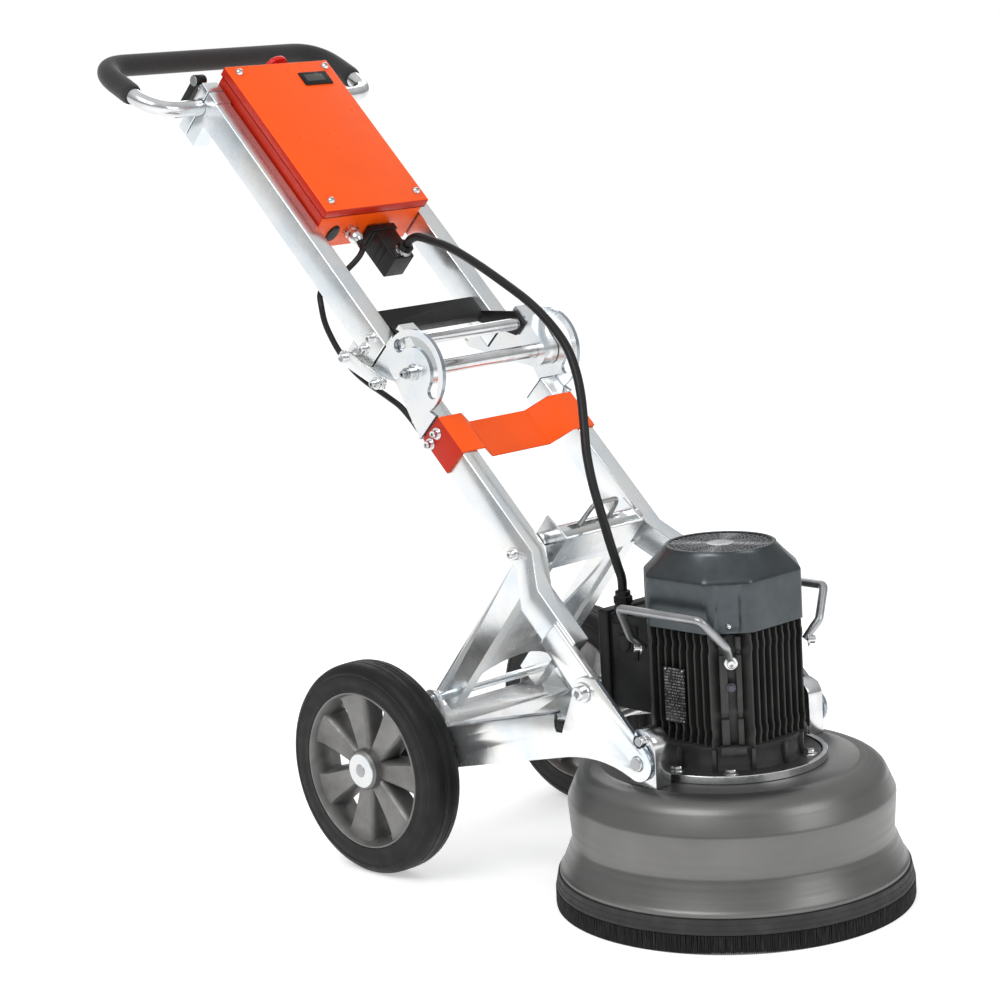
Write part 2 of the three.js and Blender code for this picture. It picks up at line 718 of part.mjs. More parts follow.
// the right arm also carries the block that holds the control cable's end
function lowerArmWithClip() {
  const { s, y, half, length } = CABLE_CLIP;
  const face = LOWER_N - TUBE_D / 2;
  const clip = block(s, s + length, y - half, y + half, CABLE_CLIP.n - CONTROL_CABLE_R - 2.5, face + 1);
  return join(lowerArm(), clip);
}

function machineToFrame(x, z) {
  const c = Math.cos(FRAME_PITCH);
  const k = Math.sin(FRAME_PITCH);
  return { s: x * c - z * k, n: x * k + z * c };
}

// bent orange sheet over both arms, with a flange down each side and a dropped middle
function crosspiece() {
  const { top, bottom, t } = CROSSPIECE;
  const faceN = LOWER_N + TUBE_D / 2 + GAP;
  const outer = TUBE_IN + TUBE_W + GAP;
  const dip = 26;
  const profile = [
    [-outer - t, faceN - TUBE_D + 2], [-outer, faceN - TUBE_D + 2], [-outer, faceN], [-TUBE_IN + 14, faceN],
    [-TUBE_IN + 46, faceN - dip], [TUBE_IN - 46, faceN - dip], [TUBE_IN - 14, faceN], [outer, faceN],
    [outer, faceN - TUBE_D + 2], [outer + t, faceN - TUBE_D + 2], [outer + t, faceN + t],
    [TUBE_IN - 12, faceN + t], [TUBE_IN - 44, faceN - dip + t], [-TUBE_IN + 44, faceN - dip + t],
    [-TUBE_IN + 12, faceN + t], [-outer - t, faceN + t],
  ];
  const shape = outline(profile.map(([y, n]) => [y, n]));
  const g = new THREE.ExtrudeGeometry(shape, { depth: bottom - top, bevelEnabled: false });
  return g.rotateX(Math.PI / 2).rotateZ(Math.PI / 2).translate(top, 0, 0);
}

// round-headed plate on the outside of the lower arm, with a curved slot for the lock bar's sweep
function foldPlate() {
  const inY = -(TUBE_IN + TUBE_W + GAP + 0.2);
  const outY = inY - FOLD_PLATE_T;
  const tailS = CROSSPIECE.top - 1;
  const shape = outline([
    [tailS, LOWER_N - TUBE_D / 2 + 2],
    [tailS, LOWER_N + TUBE_D / 2 + 4],
  ]);
  shape.absarc(FOLD.s, FOLD.n, FOLD_PLATE_R, -0.3, Math.PI * 1.16, false);
  const seatR = Math.hypot(LOCK.s - FOLD.s, LOCK.n - FOLD.n);
  const seatAngle = Math.atan2(LOCK.n - FOLD.n, LOCK.s - FOLD.s);
  const lastAngle = seatAngle - FOLD_SWEEP;
  const sweep = new THREE.Shape();
  sweep.absarc(FOLD.s, FOLD.n, seatR + FOLD_SLOT.outward, lastAngle, seatAngle, false);
  sweep.absarc(FOLD.s, FOLD.n, seatR - FOLD_SLOT.inward, seatAngle, lastAngle, true);
  const seats = [seatAngle, lastAngle].map((a) => barY(
    FOLD.s + (seatR - 4) * Math.cos(a), FOLD.n + (seatR - 4) * Math.sin(a), LOCK.r + 1, outY - 1, inY + 1, 16,
  ));
  const boltHole = barY(FOLD.s, FOLD.n, FOLD_BOLT_R + RUN, outY - 1, inY + 1, 16);
  return cut(plateY(shape, outY, inY, 12), boltHole, plateY(sweep, outY - 1, inY + 1, 12), ...seats);
}

function foldShaft() {
  const inY = TUBE_IN + TUBE_W + 0.2;
  const out = inY + GAP + FOLD_PLATE_T + GAP;
  return join(
    barY(FOLD.s, FOLD.n, FOLD.r, -inY, inY, 20),
    barY(FOLD.s, FOLD.n, FOLD_BOLT_R, -out - 2, out + 2, 16),
    barY(FOLD.s, FOLD.n, 12, -out - 2.5, -out, 20),
    barY(FOLD.s, FOLD.n, 12, out, out + 2.5, 20),
    barY(FOLD.s, FOLD.n, 8, -out - 12, -out - 2, 16),
    barY(FOLD.s, FOLD.n, 8, out + 2, out + 12, 16),
  );
}

// ---------------------------------------------------------------- strut
function strutFrame() {
  const dx = STRUT_TOP.x - STRUT_LOW.x;
  const dz = STRUT_TOP.z - STRUT_LOW.z;
  return { length: Math.hypot(dx, dz), angle: Math.atan2(dz, dx) };
}

// geometry built along +X from the rod and then leaned to the strut's angle
function leanStrut(geometry) {
  const { angle } = strutFrame();
  return geometry.rotateY(-angle).translate(STRUT_LOW.x, 0, STRUT_LOW.z);
}

// welded prop: two arms, a web sheet with a window, and the rod it turns on
function strut() {
  const { length } = strutFrame();
  const top = length - 30;
  const half = STRUT_ARM_W / 2;
  const pieces = [barY(0, 0, STRUT_LOW.r, -BRACKET_Y - BRACKET_T - 3, BRACKET_Y + BRACKET_T + 3, 16)];
  for (const side of [-1, 1]) {
    const arm = block(-12, top, side * (STRUT_OUT - STRUT_ARM_T), side * STRUT_OUT, -half, half);
    pieces.push(arm);
  }
  const reach = STRUT_OUT - STRUT_ARM_T + 2;
  const web = new THREE.Shape();
  web.moveTo(50, -reach);
  web.lineTo(top, -reach);
  web.lineTo(top, reach);
  web.lineTo(50, reach);
  web.quadraticCurveTo(110, 0, 50, -reach);
  const window = new THREE.Path();
  window.moveTo(top - 22, -reach + 22);
  window.lineTo(top - 22, reach - 22);
  window.quadraticCurveTo(top - 60, reach - 16, 140, 8);
  window.quadraticCurveTo(130, 0, 140, -8);
  window.quadraticCurveTo(top - 60, -reach + 16, top - 22, -reach + 22);
  web.holes.push(window);
  const sheet = new THREE.ExtrudeGeometry(web, { depth: SHEET, bevelEnabled: false, curveSegments: 8 });
  pieces.push(sheet.translate(0, 0, -half + 4));
  return leanStrut(join(...pieces));
}

// U-shaped housing across the strut's top, with a tube inside for the two lock pins
function latchChannel() {
  const { length } = strutFrame();
  const low = length - 30 + GAP;
  const high = length + 22;
  const shell = cut(
    block(low, high, -CHANNEL_HALF, CHANNEL_HALF, -24, 24),
    block(low + 3, high + 1, -CHANNEL_HALF + 4, CHANNEL_HALF - 4, -20, 25),
  );
  const sleeve = barY(length, 0, LATCH_R + 3, -CHANNEL_HALF + 3, CHANNEL_HALF - 3, 20);
  const bore = barY(length, 0, LATCH_R + RUN, -CHANNEL_HALF - 1, CHANNEL_HALF + 1, 20);
  const slot = block(length - 4, length + 20, -52, 52, -4, 4);
  return leanStrut(cut(join(shell, sleeve), bore, slot));
}

function latchPin() {
  const { length } = strutFrame();
  return leanStrut(barY(length, 0, LATCH_R, -(TUBE_IN - 0.5), -54 + LATCH_TRAVEL, 20));
}

// bent wire that draws both pins inwards
function latchHandle() {
  const { length } = strutFrame();
  const foot = length + LATCH_R + 5;
  const tall = length + 58;
  const path = bentPath(
    [
      new THREE.Vector3(foot, -30, 0), new THREE.Vector3(tall, -24, 0),
      new THREE.Vector3(tall, 24, 0), new THREE.Vector3(foot, 30, 0),
    ],
    14,
  );
  return leanStrut(rod(path, 3.5, 18, 8));
}

// ---------------------------------------------------------------- upper frame
function upperTube() {
  const low = UPPER_N - TUBE_D / 2;
  const outY = -(TUBE_IN + TUBE_W);
  const skin = tubeBox(UPPER_TOP_S, UPPER_LOW_S, UPPER_N);
  const room = block(UPPER_TOP_S + 20, UPPER_LOW_S + 1, outY + TUBE_WALL, -TUBE_IN - TUBE_WALL,
    low + TUBE_WALL, low + TUBE_D - TUBE_WALL);
  const clampBlock = block(BAR_S + 0.5, UPPER_TOP_S + 1, outY, -TUBE_IN, BLOCK_LOW_N, BLOCK_TOP_N);
  const seat = barY(BAR_S, BAR_N, BAR_R + GAP, outY - 1, -TUBE_IN + 1, 24);
  return cut(join(cut(skin, room), clampBlock), seat);
}

function clampCap() {
  const outY = -(TUBE_IN + TUBE_W);
  const cap = block(CAP_END_S, BAR_S - 0.5, outY, -TUBE_IN, BLOCK_LOW_N, BLOCK_TOP_N);
  const washer = barAlongS(-(TUBE_IN + TUBE_W / 2), LEVER.n, 9, CAP_END_S - 8, CAP_END_S + 1);
  return cut(join(cap, washer), barY(BAR_S, BAR_N, BAR_R + GAP, outY - 1, -TUBE_IN + 1, 24));
}

// a round bar along S through (y, n)
function barAlongS(y, n, r, s0, s1, segments = 20) {
  const g = new THREE.CylinderGeometry(r, r, s1 - s0, segments).rotateZ(Math.PI / 2);
  return g.translate((s0 + s1) / 2, y, n);
}

// cam lever that draws the clamp shut
function clampLever() {
  const y = -(TUBE_IN + TUBE_W / 2);
  const { s, n, r, length } = LEVER;
  const shape = outline([
    [s - r * 0.7, n], [s - 9, n - length], [s - 1, n - length - 3], [s + 4, n - length + 4], [s + r * 0.7, n],
  ]);
  return join(barY(s, n, r - 1, y - 10, y + 10, 18), plateY(shape, y - 7, y + 7));
}

// plate pair at the tube's foot: fold bearing, lock guide and the bracket for the stop link
function hingeFork() {
  const outY = -(TUBE_IN + TUBE_W - 1);
  const inY = -(TUBE_IN + 1);
  const face = UPPER_LOW_S + GAP;
  const low = UPPER_N - TUBE_D / 2;
  const shape = outline([[face, low + 1], [face + 30, low + 8], [FOLD.s + 12, FOLD.n - 21]]);
  shape.absarc(FOLD.s, FOLD.n, 24, -1.05, 1.1, false);
  shape.lineTo(LOCK.s + 4, LOCK.n + 20);
  shape.lineTo(face, LOCK.n + 16);
  const bracket = outline([
    [LINK.topS - 12, low - GAP], [LINK.topS - 12, LINK.topN - 10], [LINK.topS + 12, LINK.topN - 10],
    [face + 20, low + 3], [face, low + 3], [face, low - GAP],
  ]);
  const travel = LOCK.r + GAP;
  const slot = outline([
    [LOCK.s - LOCK.travel, LOCK.n - travel], [LOCK.s, LOCK.n - travel],
    [LOCK.s, LOCK.n + travel], [LOCK.s - LOCK.travel, LOCK.n + travel],
  ]);
  return cut(
    join(plateY(shape, outY, inY, 8), plateY(bracket, outY, inY)),
    barY(FOLD.s, FOLD.n, FOLD.r + RUN, outY - 1, inY + 1, 20),
    barY(LOCK.s, LOCK.n, LOCK.r + GAP, outY - 1, inY + 1, 20),
    barY(LOCK.s - LOCK.travel, LOCK.n, LOCK.r + GAP, outY - 1, inY + 1, 20),
    plateY(slot, outY - 1, inY + 1),
    barY(LINK.topS, LINK.topN, 6 + GAP, outY - 1, inY + 1, 16),
  );
}

// arm that carries the fold stop outside the fold plate
function stopLink() {
  const inY = -(TUBE_IN + TUBE_W + GAP + FOLD_PLATE_T + 1.5);
  const outY = inY - LINK.t;
  const angle = Math.atan2(LINK.lowN - LINK.topN, LINK.lowS - LINK.topS);
  const shape = new THREE.Shape();
  shape.absarc(LINK.lowS, LINK.lowN, LINK.r, angle - Math.PI / 2, angle + Math.PI / 2, false);
  shape.absarc(LINK.topS, LINK.topN, LINK.r + 1, angle + Math.PI / 2, angle + Math.PI * 1.5, false);
  return join(
    plateY(shape, outY, inY, 8),
    barY(LINK.topS, LINK.topN, 6, -TUBE_IN - 2, inY - 1, 16),
    barY(LINK.lowS, LINK.lowN, 7, outY - 7, outY + 1, 16),
  );
}

// round bar that drops into the plates' notches, drawn back by a bent-sheet pull bar
function lockSlider() {
  const end = TUBE_IN - 0.7;
  const { top, low, n, lip, t } = RELEASE;
  const pieces = [
    block(top, low, -end, end, n - t, n),
    block(low - t, low, -end, end, n - lip, n),
    block(top, top + t, -end, end, n - lip, n),
  ];
  const arm = outline([
    [top, n - lip], [low, n - lip], [LOCK.s + 12, LOCK.n - 13], [LOCK.s + 12, LOCK.n + 13],
    [LOCK.s - 14, LOCK.n + 13], [low - 8, n], [top, n],
  ]);
  for (const side of [-1, 1]) {
    pieces.push(plateY(arm, side * end, side * (end - t)));
  }
  const barEnd = TUBE_IN + TUBE_W - 0.5;
  return join(...pieces, barY(LOCK.s, LOCK.n, LOCK.r, -barEnd, barEnd, 20));
}

// ---------------------------------------------------------------- control box
const BOX_BODY = {
  top: BOX.top + BOX.wall + 0.4,
  bottom: BOX.bottom - BOX.wall - 0.4,
  half: BOX.half - BOX.wall - 0.4,
};

// open tray with the stop button's hole at its top end and the control cable's gland at the other
function boxBody() {
  const { top, bottom, half } = BOX_BODY;
  const { n, lid, low, wall } = BOX;
  const shell = block(top, bottom, -half, half, low, n - wall - GAP);
  const room = block(top + wall, bottom - wall, wall - half, half - wall, low + wall, n + lid);
  const buttonHole = barAlongS(STOP.y, STOP.n, STOP.neckR + 0.6, top - 1, top + wall + 1);
  const gland = [
    barAlongS(BOX_GLAND.y, BOX_GLAND.n, BOX_GLAND.nutR, bottom - 1, bottom + 8, 6),
    barAlongS(BOX_GLAND.y, BOX_GLAND.n, BOX_GLAND.r, bottom + 7, bottom + BOX_GLAND.length, 16),
  ];
  return join(cut(shell, room, buttonHole), ...gland);
}

function boxLid() {
  const { top, bottom, half, n, lid, wall } = BOX;
  const shell = block(top, bottom, -half, half, n - lid, n);
  return cut(shell, block(top + wall, bottom - wall, -half + wall, half - wall, n - lid - 1, n - wall));
}

function stopButton() {
  const { y, n, r, length, neckR, neckEnd } = STOP;
  const face = BOX_BODY.top - GAP;
  const neck = barAlongS(y, n, neckR, face - length + 8, BOX_BODY.top + neckEnd);
  const dome = [[0, 0], [r, 0], [r, 5], [r * 0.8, 10], [r * 0.4, 12.5], [0, 13]];
  const head = new THREE.LatheGeometry(dome.map(([a, b]) => new THREE.Vector2(a, b)), 24);
  return join(neck, head.rotateZ(Math.PI / 2).translate(face - length + 9, y, n));
}

// multi-pole plug on the box's lower end, with the cable outlet standing out of its front
function powerPlug() {
  const s0 = BOX_BODY.bottom + GAP;
  const { y, n, w, d, length, outletInset, outletH } = PLUG;
  const top = n + d / 2;
  const hood = block(s0 + 14, s0 + length, y - w / 2, y + w / 2, n - d / 2, top);
  const base = block(s0, s0 + 15, y - w / 2 - 5, y + w / 2 + 5, n - d / 2 + 3, top - 3);
  const outlet = barZ(s0 + length - outletInset, y + 4, MOTOR_CABLE_R + 3.5, top - 1, top + outletH, 16);
  return join(hood, base, outlet);
}

// ---------------------------------------------------------------- handlebar
const BAR_AXIS = frameToMachine(BAR_S, BAR_N);

// U-shaped bar: out of one clamp, back and up, across, and into the other clamp
function barPoints() {
  const back = new THREE.Vector3(-Math.cos(BAR_LIFT), 0, Math.sin(BAR_LIFT)).multiplyScalar(BAR_REACH);
  const start = (y) => new THREE.Vector3(BAR_AXIS.x, y, BAR_AXIS.z);
  return [
    start(-TUBE_IN - 2), start(-BAR_HALF_W), start(-BAR_HALF_W).add(back),
    start(BAR_HALF_W).add(back), start(BAR_HALF_W), start(TUBE_IN + 2),
  ];
}

function barAlongHandle(r) {
  return rod(bentPath(barPoints(), BAR_BEND), r, 36, 10);
}

function handlebar() {
  return barAlongHandle(BAR_R);
}

function grip() {
  const [, corner, backCorner, farBack, farCorner] = barPoints();
  const begin = corner.clone().lerp(backCorner, 0.36);
  const end = farCorner.clone().lerp(farBack, 0.36);
  const path = bentPath([begin, backCorner, farBack, end], BAR_BEND);
  return cut(rod(path, GRIP_R, 26, 10), barAlongHandle(BAR_R + GAP));
}

// ---------------------------------------------------------------- cables
// the motor cable hangs from the plug on the control box to the gland on the terminal box
const MOTOR_CABLE_ROUTE = [
  [-629.1, 32, 891.2], [-621, 32, 898.5], [-605, 33, 902], [-579, 34, 897], [-537, 35, 886],
  [-488, 35, 866], [-427, 33, 838], [-370, 29, 810], [-324, 24, 780], [-290, 17, 752],
  [-267, 9, 722], [-250, 0, 689], [-234, -13, 649], [-220, -25, 609], [-202, -34, 567],
  [-183, -39, 526], [-169, -40, 489], [-159, -38, 458], [-155, -35, 440], [-154, -35, 422.4],
];
// the stretches of it that hang between one moving frame and the next, as shares of its length
const MOTOR_CABLE_SPLITS = [0, 0.46, 0.78, 1];

// the control cable leaves the box's gland, passes under the right tube and ends in the arm's clip
const CONTROL_CABLE_ROUTE = [
  [-669.3, -30, 900], [-662, -30.5, 892.7], [-657, -36, 886], [-658, -46, 875], [-665, -61, 861],
  [-672, -80, 847], [-673, -101, 838], [-664, -118, 830], [-655, -125, 815], [-648, -126, 790],
  [-636, -124, 765], [-621, -121, 742], [-600, -118, 720], [-574, -117, 704], [-549, -117, 693],
  [-523, -117.5, 682], [-500, -118, 671], [-478, -118, 653.4], [-466, -118, 641.4], [-457, -118, 632.4],
];

// the stretch of a cable between two shares of its length, shortened by half a gap at each end
function cableRun(route, from, to, r) {
  const curve = new THREE.CatmullRomCurve3(
    route.map(([x, y, z]) => new THREE.Vector3(x, y, z)), false, 'catmullrom', 0.5,
  );
  const length = curve.getLength();
  const trim = GAP / 2 / length;
  const steps = Math.ceil(((to - from) * length) / (5 * r));
  const points = [];
  for (let i = 0; i <= 2 * steps; i += 1) {
    points.push(curve.getPointAt(from + trim + ((to - from - 2 * trim) * i) / (2 * steps)));
  }
  return rod(new THREE.CatmullRomCurve3(points), r, steps, 8);
}

// ---------------------------------------------------------------- assembly
place('skirt_brush', skirtBrush(), RUBBER);
place('skirt_band', skirtBand(), RUBBER);
place('shroud', shroud(), SHROUD_GREY);
place('collar_ring', collarRing(), ZINC);
place('planet_carrier', planetCarrier(), BRIGHT_STEEL);
toolCentres().forEach(([x, y], i) => place(`tool_disc_${i + 1}`, toolDisc(x, y), BRIGHT_STEEL));
placePair('tilt_lug', tiltLug(), BRIGHT_STEEL);
place('motor_body', motorBody(), MOTOR_PAINT);
place('fan_cover', fanCover(), COVER_PAINT);
place('rotor_and_fan', rotor(), BRIGHT_STEEL);
place('terminal_box', terminalBox(), BLACK);
place('terminal_lid', terminalLid(), BLACK);
placePair('lift_handle', liftHandle(), BRIGHT_STEEL);

placePair('side_rail', sideRail(), ZINC);
place('rear_beam', rearBeam(), ZINC);
place('axle', axle(), BRIGHT_STEEL);
place('tie_bar', tieBar(), ZINC);
placePair('ear_bolt', earBolt(), BRIGHT_STEEL);
placePair('tyre', tyre(), RUBBER);
placePair('wheel_centre', wheelCentre(), CAST_ALUMINIUM);

place('lower_arm_right', lowerArmWithClip(), ZINC, frame);
place('lower_arm_left', mirrorY(lowerArm()), ZINC, frame);
place('crosspiece', crosspiece(), ORANGE, frame);
placePair('fold_plate', foldPlate(), ZINC, frame);
place('fold_shaft', foldShaft(), ZINC, frame);
place('strut', strut(), ZINC);
place('latch_channel', latchChannel(), ZINC);
placePair('latch_pin', latchPin(), BRIGHT_STEEL);
place('latch_handle', latchHandle(), BRIGHT_STEEL);

placePair('upper_tube', upperTube(), ZINC, frame);
placePair('clamp_cap', clampCap(), CAST_ALUMINIUM, frame);
placePair('clamp_lever', clampLever(), BLACK, frame);
placePair('hinge_fork', hingeFork(), ZINC, frame);
placePair('stop_link', stopLink(), ZINC, frame);
place('lock_slider', lockSlider(), BLACK, frame);
place('box_body', boxBody(), ORANGE, frame);
place('box_lid', boxLid(), ORANGE, frame);
place('stop_button', stopButton(), RED, frame);
place('power_plug', powerPlug(), BLACK, frame);
place('handlebar', handlebar(), BRIGHT_STEEL);
place('grip', grip(), FOAM);

for (let i = 0; i < MOTOR_CABLE_SPLITS.length - 1; i += 1) {
  const run = cableRun(MOTOR_CABLE_ROUTE, MOTOR_CABLE_SPLITS[i], MOTOR_CABLE_SPLITS[i + 1], MOTOR_CABLE_R);
  place(`motor_cable_${i + 1}`, run, RUBBER);
}
place('control_cable', cableRun(CONTROL_CABLE_ROUTE, 0, 1, CONTROL_CABLE_R), RUBBER);

// the part's origin is under the middle of the whole machine, on the floor
const part = new THREE.Group();
part.add(machine);
part.updateMatrixWorld(true);
const extent = new THREE.Box3().setFromObject(machine, true);
machine.position.x = -(extent.min.x + extent.max.x) / 2;

export default part;
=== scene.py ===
"""Detailed visual model of a walk-behind planetary floor grinder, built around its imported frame."""

import json
import math

import bmesh
import bpy
from mathutils import Matrix, Vector

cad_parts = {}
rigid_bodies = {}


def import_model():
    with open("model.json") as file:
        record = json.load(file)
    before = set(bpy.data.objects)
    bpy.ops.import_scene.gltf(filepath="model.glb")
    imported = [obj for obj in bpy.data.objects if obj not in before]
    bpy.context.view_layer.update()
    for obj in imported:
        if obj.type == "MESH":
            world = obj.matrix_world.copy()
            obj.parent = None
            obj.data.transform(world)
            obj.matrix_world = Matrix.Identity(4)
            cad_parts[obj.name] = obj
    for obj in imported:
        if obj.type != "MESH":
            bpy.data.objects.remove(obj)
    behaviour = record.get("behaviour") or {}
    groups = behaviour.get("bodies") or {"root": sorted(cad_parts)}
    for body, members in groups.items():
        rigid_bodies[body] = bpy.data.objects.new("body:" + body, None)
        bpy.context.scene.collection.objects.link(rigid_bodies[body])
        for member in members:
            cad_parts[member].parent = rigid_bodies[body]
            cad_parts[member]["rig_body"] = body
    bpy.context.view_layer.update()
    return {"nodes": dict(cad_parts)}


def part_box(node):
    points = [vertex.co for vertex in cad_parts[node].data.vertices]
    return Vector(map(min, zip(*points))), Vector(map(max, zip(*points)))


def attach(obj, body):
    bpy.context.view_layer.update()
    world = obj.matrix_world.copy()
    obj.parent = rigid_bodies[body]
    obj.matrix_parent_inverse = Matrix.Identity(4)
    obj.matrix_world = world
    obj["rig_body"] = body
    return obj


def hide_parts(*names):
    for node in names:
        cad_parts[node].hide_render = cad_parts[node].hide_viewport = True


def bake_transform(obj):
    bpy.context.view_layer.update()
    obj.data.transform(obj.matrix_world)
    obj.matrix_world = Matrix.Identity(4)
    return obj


bl_info = {
    "name": "Floor grinder",
    "version": (1, 0, 0),
    "blender": (4, 5, 0),
    "location": "3D View > Sidebar > Grinder",
    "description": "Builds the pieces of a planetary floor grinder over its fixed frame",
    "category": "Add Mesh",
}

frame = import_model()
NODES = frame["nodes"]

# ------------------------------------------------------------------ places
MM = 0.001
HALF_ROOT = math.sqrt(0.5)
HEAD_X = (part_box("skirt_brush")[0][0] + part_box("skirt_brush")[1][0]) / 2
# the machine's own millimetres, about the head's axis on the floor
MACHINE = Matrix.Translation((HEAD_X, 0, 0)) @ Matrix.Scale(MM, 4)
# the handle frame's millimetres: s down the frame, y to the left, n square to it
HANDLE_FRAME = MACHINE @ Matrix.Rotation(math.pi / 4, 4, "Y")
STRUT_FOOT = Vector((-460, 0, 242))
STRUT_HEAD = Vector((-247, 0, 495))
STRUT_LENGTH = (STRUT_HEAD - STRUT_FOOT).length
STRUT_LEAN = math.atan2(STRUT_HEAD.z - STRUT_FOOT.z, STRUT_HEAD.x - STRUT_FOOT.x)
STRUT_FRAME = MACHINE @ Matrix.Translation(STRUT_FOOT) @ Matrix.Rotation(-STRUT_LEAN, 4, "Y")
MIRROR_Y = Matrix.Scale(-1, 4, (0, 1, 0))
# each side, and the way it lies along Y
TWO_SIDES = (("right", -1), ("left", 1))
AXLE_X, AXLE_Z, WHEEL_Y = -491, 156.5, 220
CABLE_GLAND = (-154, -35, 0)


# ------------------------------------------------------------------ sizes and colours
def colour(name, value, words):
    return bpy.props.FloatVectorProperty(
        name=name, description=words, subtype="COLOR", size=3, min=0, max=1, default=value)


def length(name, value, words):
    return bpy.props.FloatProperty(
        name=name, description=words, unit="LENGTH", subtype="DISTANCE", min=0.0001, default=value)


def count(name, value, words):
    return bpy.props.IntProperty(name=name, description=words, min=1, default=value)


class GRINDER_PG_finishes(bpy.types.PropertyGroup):
    """Base colours of the machine's finishes"""
    orange: colour("Orange", (1.0, 0.102, 0.003), "Powder coat on the box and cross sheet")
    # a darker copy of the orange coat: painted shade on the side and flange faces
    shaded_orange: colour("Shaded orange", (0.50, 0.020, 0.005), "Orange darkened as painted shade on side faces")
    zinc: colour("Zinc", (0.79, 0.81, 0.82), "Zinc plate on the frame")
    spun: colour("Spun steel", (0.175, 0.174, 0.171), "Satin metal of the shroud")
    motor: colour("Motor", (0.042, 0.041, 0.040), "Paint on the cast motor body")
    cover: colour("Fan cover", (0.088, 0.10, 0.106), "Paint on the pressed fan cover")
    cast: colour("Cast aluminium", (0.20, 0.198, 0.194), "Wheel centres and clamp caps")
    foam: colour("Foam", (0.018, 0.018, 0.019), "Handlebar grip")
    stop: colour("Stop button", (0.72, 0.018, 0.012), "Emergency stop")


class GRINDER_PG_sizes(bpy.types.PropertyGroup):
    """Sizes of the details added over the frame"""
    edge: length("Edge rounding", 0.0008, "Radius broken on machined and folded edges")
    cast_edge: length("Cast edge rounding", 0.0016, "Radius on moulded and cast edges")
    motor_cable: length("Motor cable", 0.0132, "Diameter of the motor cable")
    control_cable: length("Control cable", 0.009, "Diameter of the control cable")
    tufts: count("Bristle tufts", 620, "Tufts in each row of the skirt brush")
    fins: count("Cooling fins", 9, "Fins on each side of the motor")
    spokes: count("Spokes", 7, "Spokes of each wheel")
    grille_rings: count("Grille rings", 8, "Round wires in the fan grille")
    grille_wires: count("Grille wires", 44, "Straight wires in the fan grille")
    socket_head: length("Socket head", 0.0056, "Radius of the socket screw heads")
    dome_head: length("Dome head", 0.0046, "Radius of the dome screw heads")
    hex_head: length("Hex head", 0.0080, "Radius of the hexagon bolt heads")


# ------------------------------------------------------------------ finishes
NOISE_ROUGHNESS = 0.55


class Shader:
    """A material under construction: its node tree and its main shader"""

    def __init__(self, name, base, roughness, metallic=0.0):
        self.material = bpy.data.materials.new(name)
        self.material.use_nodes = True
        self.tree = self.material.node_tree
        self.main = self.tree.nodes["Principled BSDF"]
        self.main.inputs["Base Color"].default_value = (*base, 1)
        self.main.inputs["Roughness"].default_value = roughness
        self.main.inputs["Metallic"].default_value = metallic
        self.base = base
        self.place = self.node("ShaderNodeTexCoord").outputs["Object"]
        self.normal = None

    def node(self, kind, **values):
        made = self.tree.nodes.new(kind)
        for key, value in values.items():
            setattr(made, key, value)
        return made

    def link(self, source, target):
        self.tree.links.new(source, target)

    def stretched(self, scale, place=None, origin=(0, 0, 0)):
        """Object coordinates, moved to an origin and stretched along each axis"""
        mapping = self.node("ShaderNodeMapping")
        mapping.inputs["Location"].default_value = [-o * s for o, s in zip(origin, scale)]
        mapping.inputs["Scale"].default_value = scale
        self.link(place or self.place, mapping.inputs["Vector"])
        return mapping.outputs["Vector"]

    def rings(self, axis, origin):
        """Coordinates that are alike all round an axis: radius, nothing, height"""
        moved = self.stretched((1, 1, 1), origin=origin)
        split = self.node("ShaderNodeSeparateXYZ")
        self.link(moved, split.inputs[0])
        across = self.node("ShaderNodeCombineXYZ")
        others = [a for a in "XYZ" if a != axis]
        for target, name in zip("XY", others):
            self.link(split.outputs[name], across.inputs[target])
        reach = self.node("ShaderNodeVectorMath", operation="LENGTH")
        self.link(across.outputs[0], reach.inputs[0])
        joined = self.node("ShaderNodeCombineXYZ")
        self.link(reach.outputs["Value"], joined.inputs["X"])
        self.link(split.outputs[axis], joined.inputs["Z"])
        return joined.outputs[0]

    def noise(self, scale, detail, place=None):
        made = self.node("ShaderNodeTexNoise")
        for name, value in (("Scale", scale), ("Detail", detail), ("Roughness", NOISE_ROUGHNESS)):
            made.inputs[name].default_value = value
        self.link(place or self.place, made.inputs["Vector"])
        return made.outputs["Fac"]

    def cells(self, scale):
        made = self.node("ShaderNodeTexVoronoi")
        made.inputs["Scale"].default_value = scale
        self.link(self.place, made.inputs["Vector"])
        return made.outputs["Distance"]

    def between(self, source, low, high, to_low, to_high):
        made = self.node("ShaderNodeMapRange")
        for name, value in zip(("From Min", "From Max", "To Min", "To Max"), (low, high, to_low, to_high)):
            made.inputs[name].default_value = value
        self.link(source, made.inputs["Value"])
        return made.outputs["Result"]

    def paint(self, source, stops):
        """Base colour from a list of (place, brightness or colour) stops"""
        ramp = self.node("ShaderNodeValToRGB")
        elements = ramp.color_ramp.elements
        while len(elements) < len(stops):
            elements.new(0.5)
        for element, (at, shade) in zip(elements, stops):
            element.position = at
            rgb = shade if isinstance(shade, tuple) else tuple(min(1, c * shade) for c in self.base)
            element.color = (*rgb, 1)
        self.link(source, ramp.inputs["Fac"])
        self.link(ramp.outputs["Color"], self.main.inputs["Base Color"])

    def rough(self, source, low, high):
        self.link(self.between(source, 0.3, 0.7, low, high), self.main.inputs["Roughness"])

    def bump(self, source, strength, depth):
        made = self.node("ShaderNodeBump")
        made.inputs["Strength"].default_value = strength
        made.inputs["Distance"].default_value = depth
        self.link(source, made.inputs["Height"])
        if self.normal is not None:
            self.link(self.normal, made.inputs["Normal"])
        self.normal = made.outputs["Normal"]
        self.link(self.normal, self.main.inputs["Normal"])


FINISH = {}


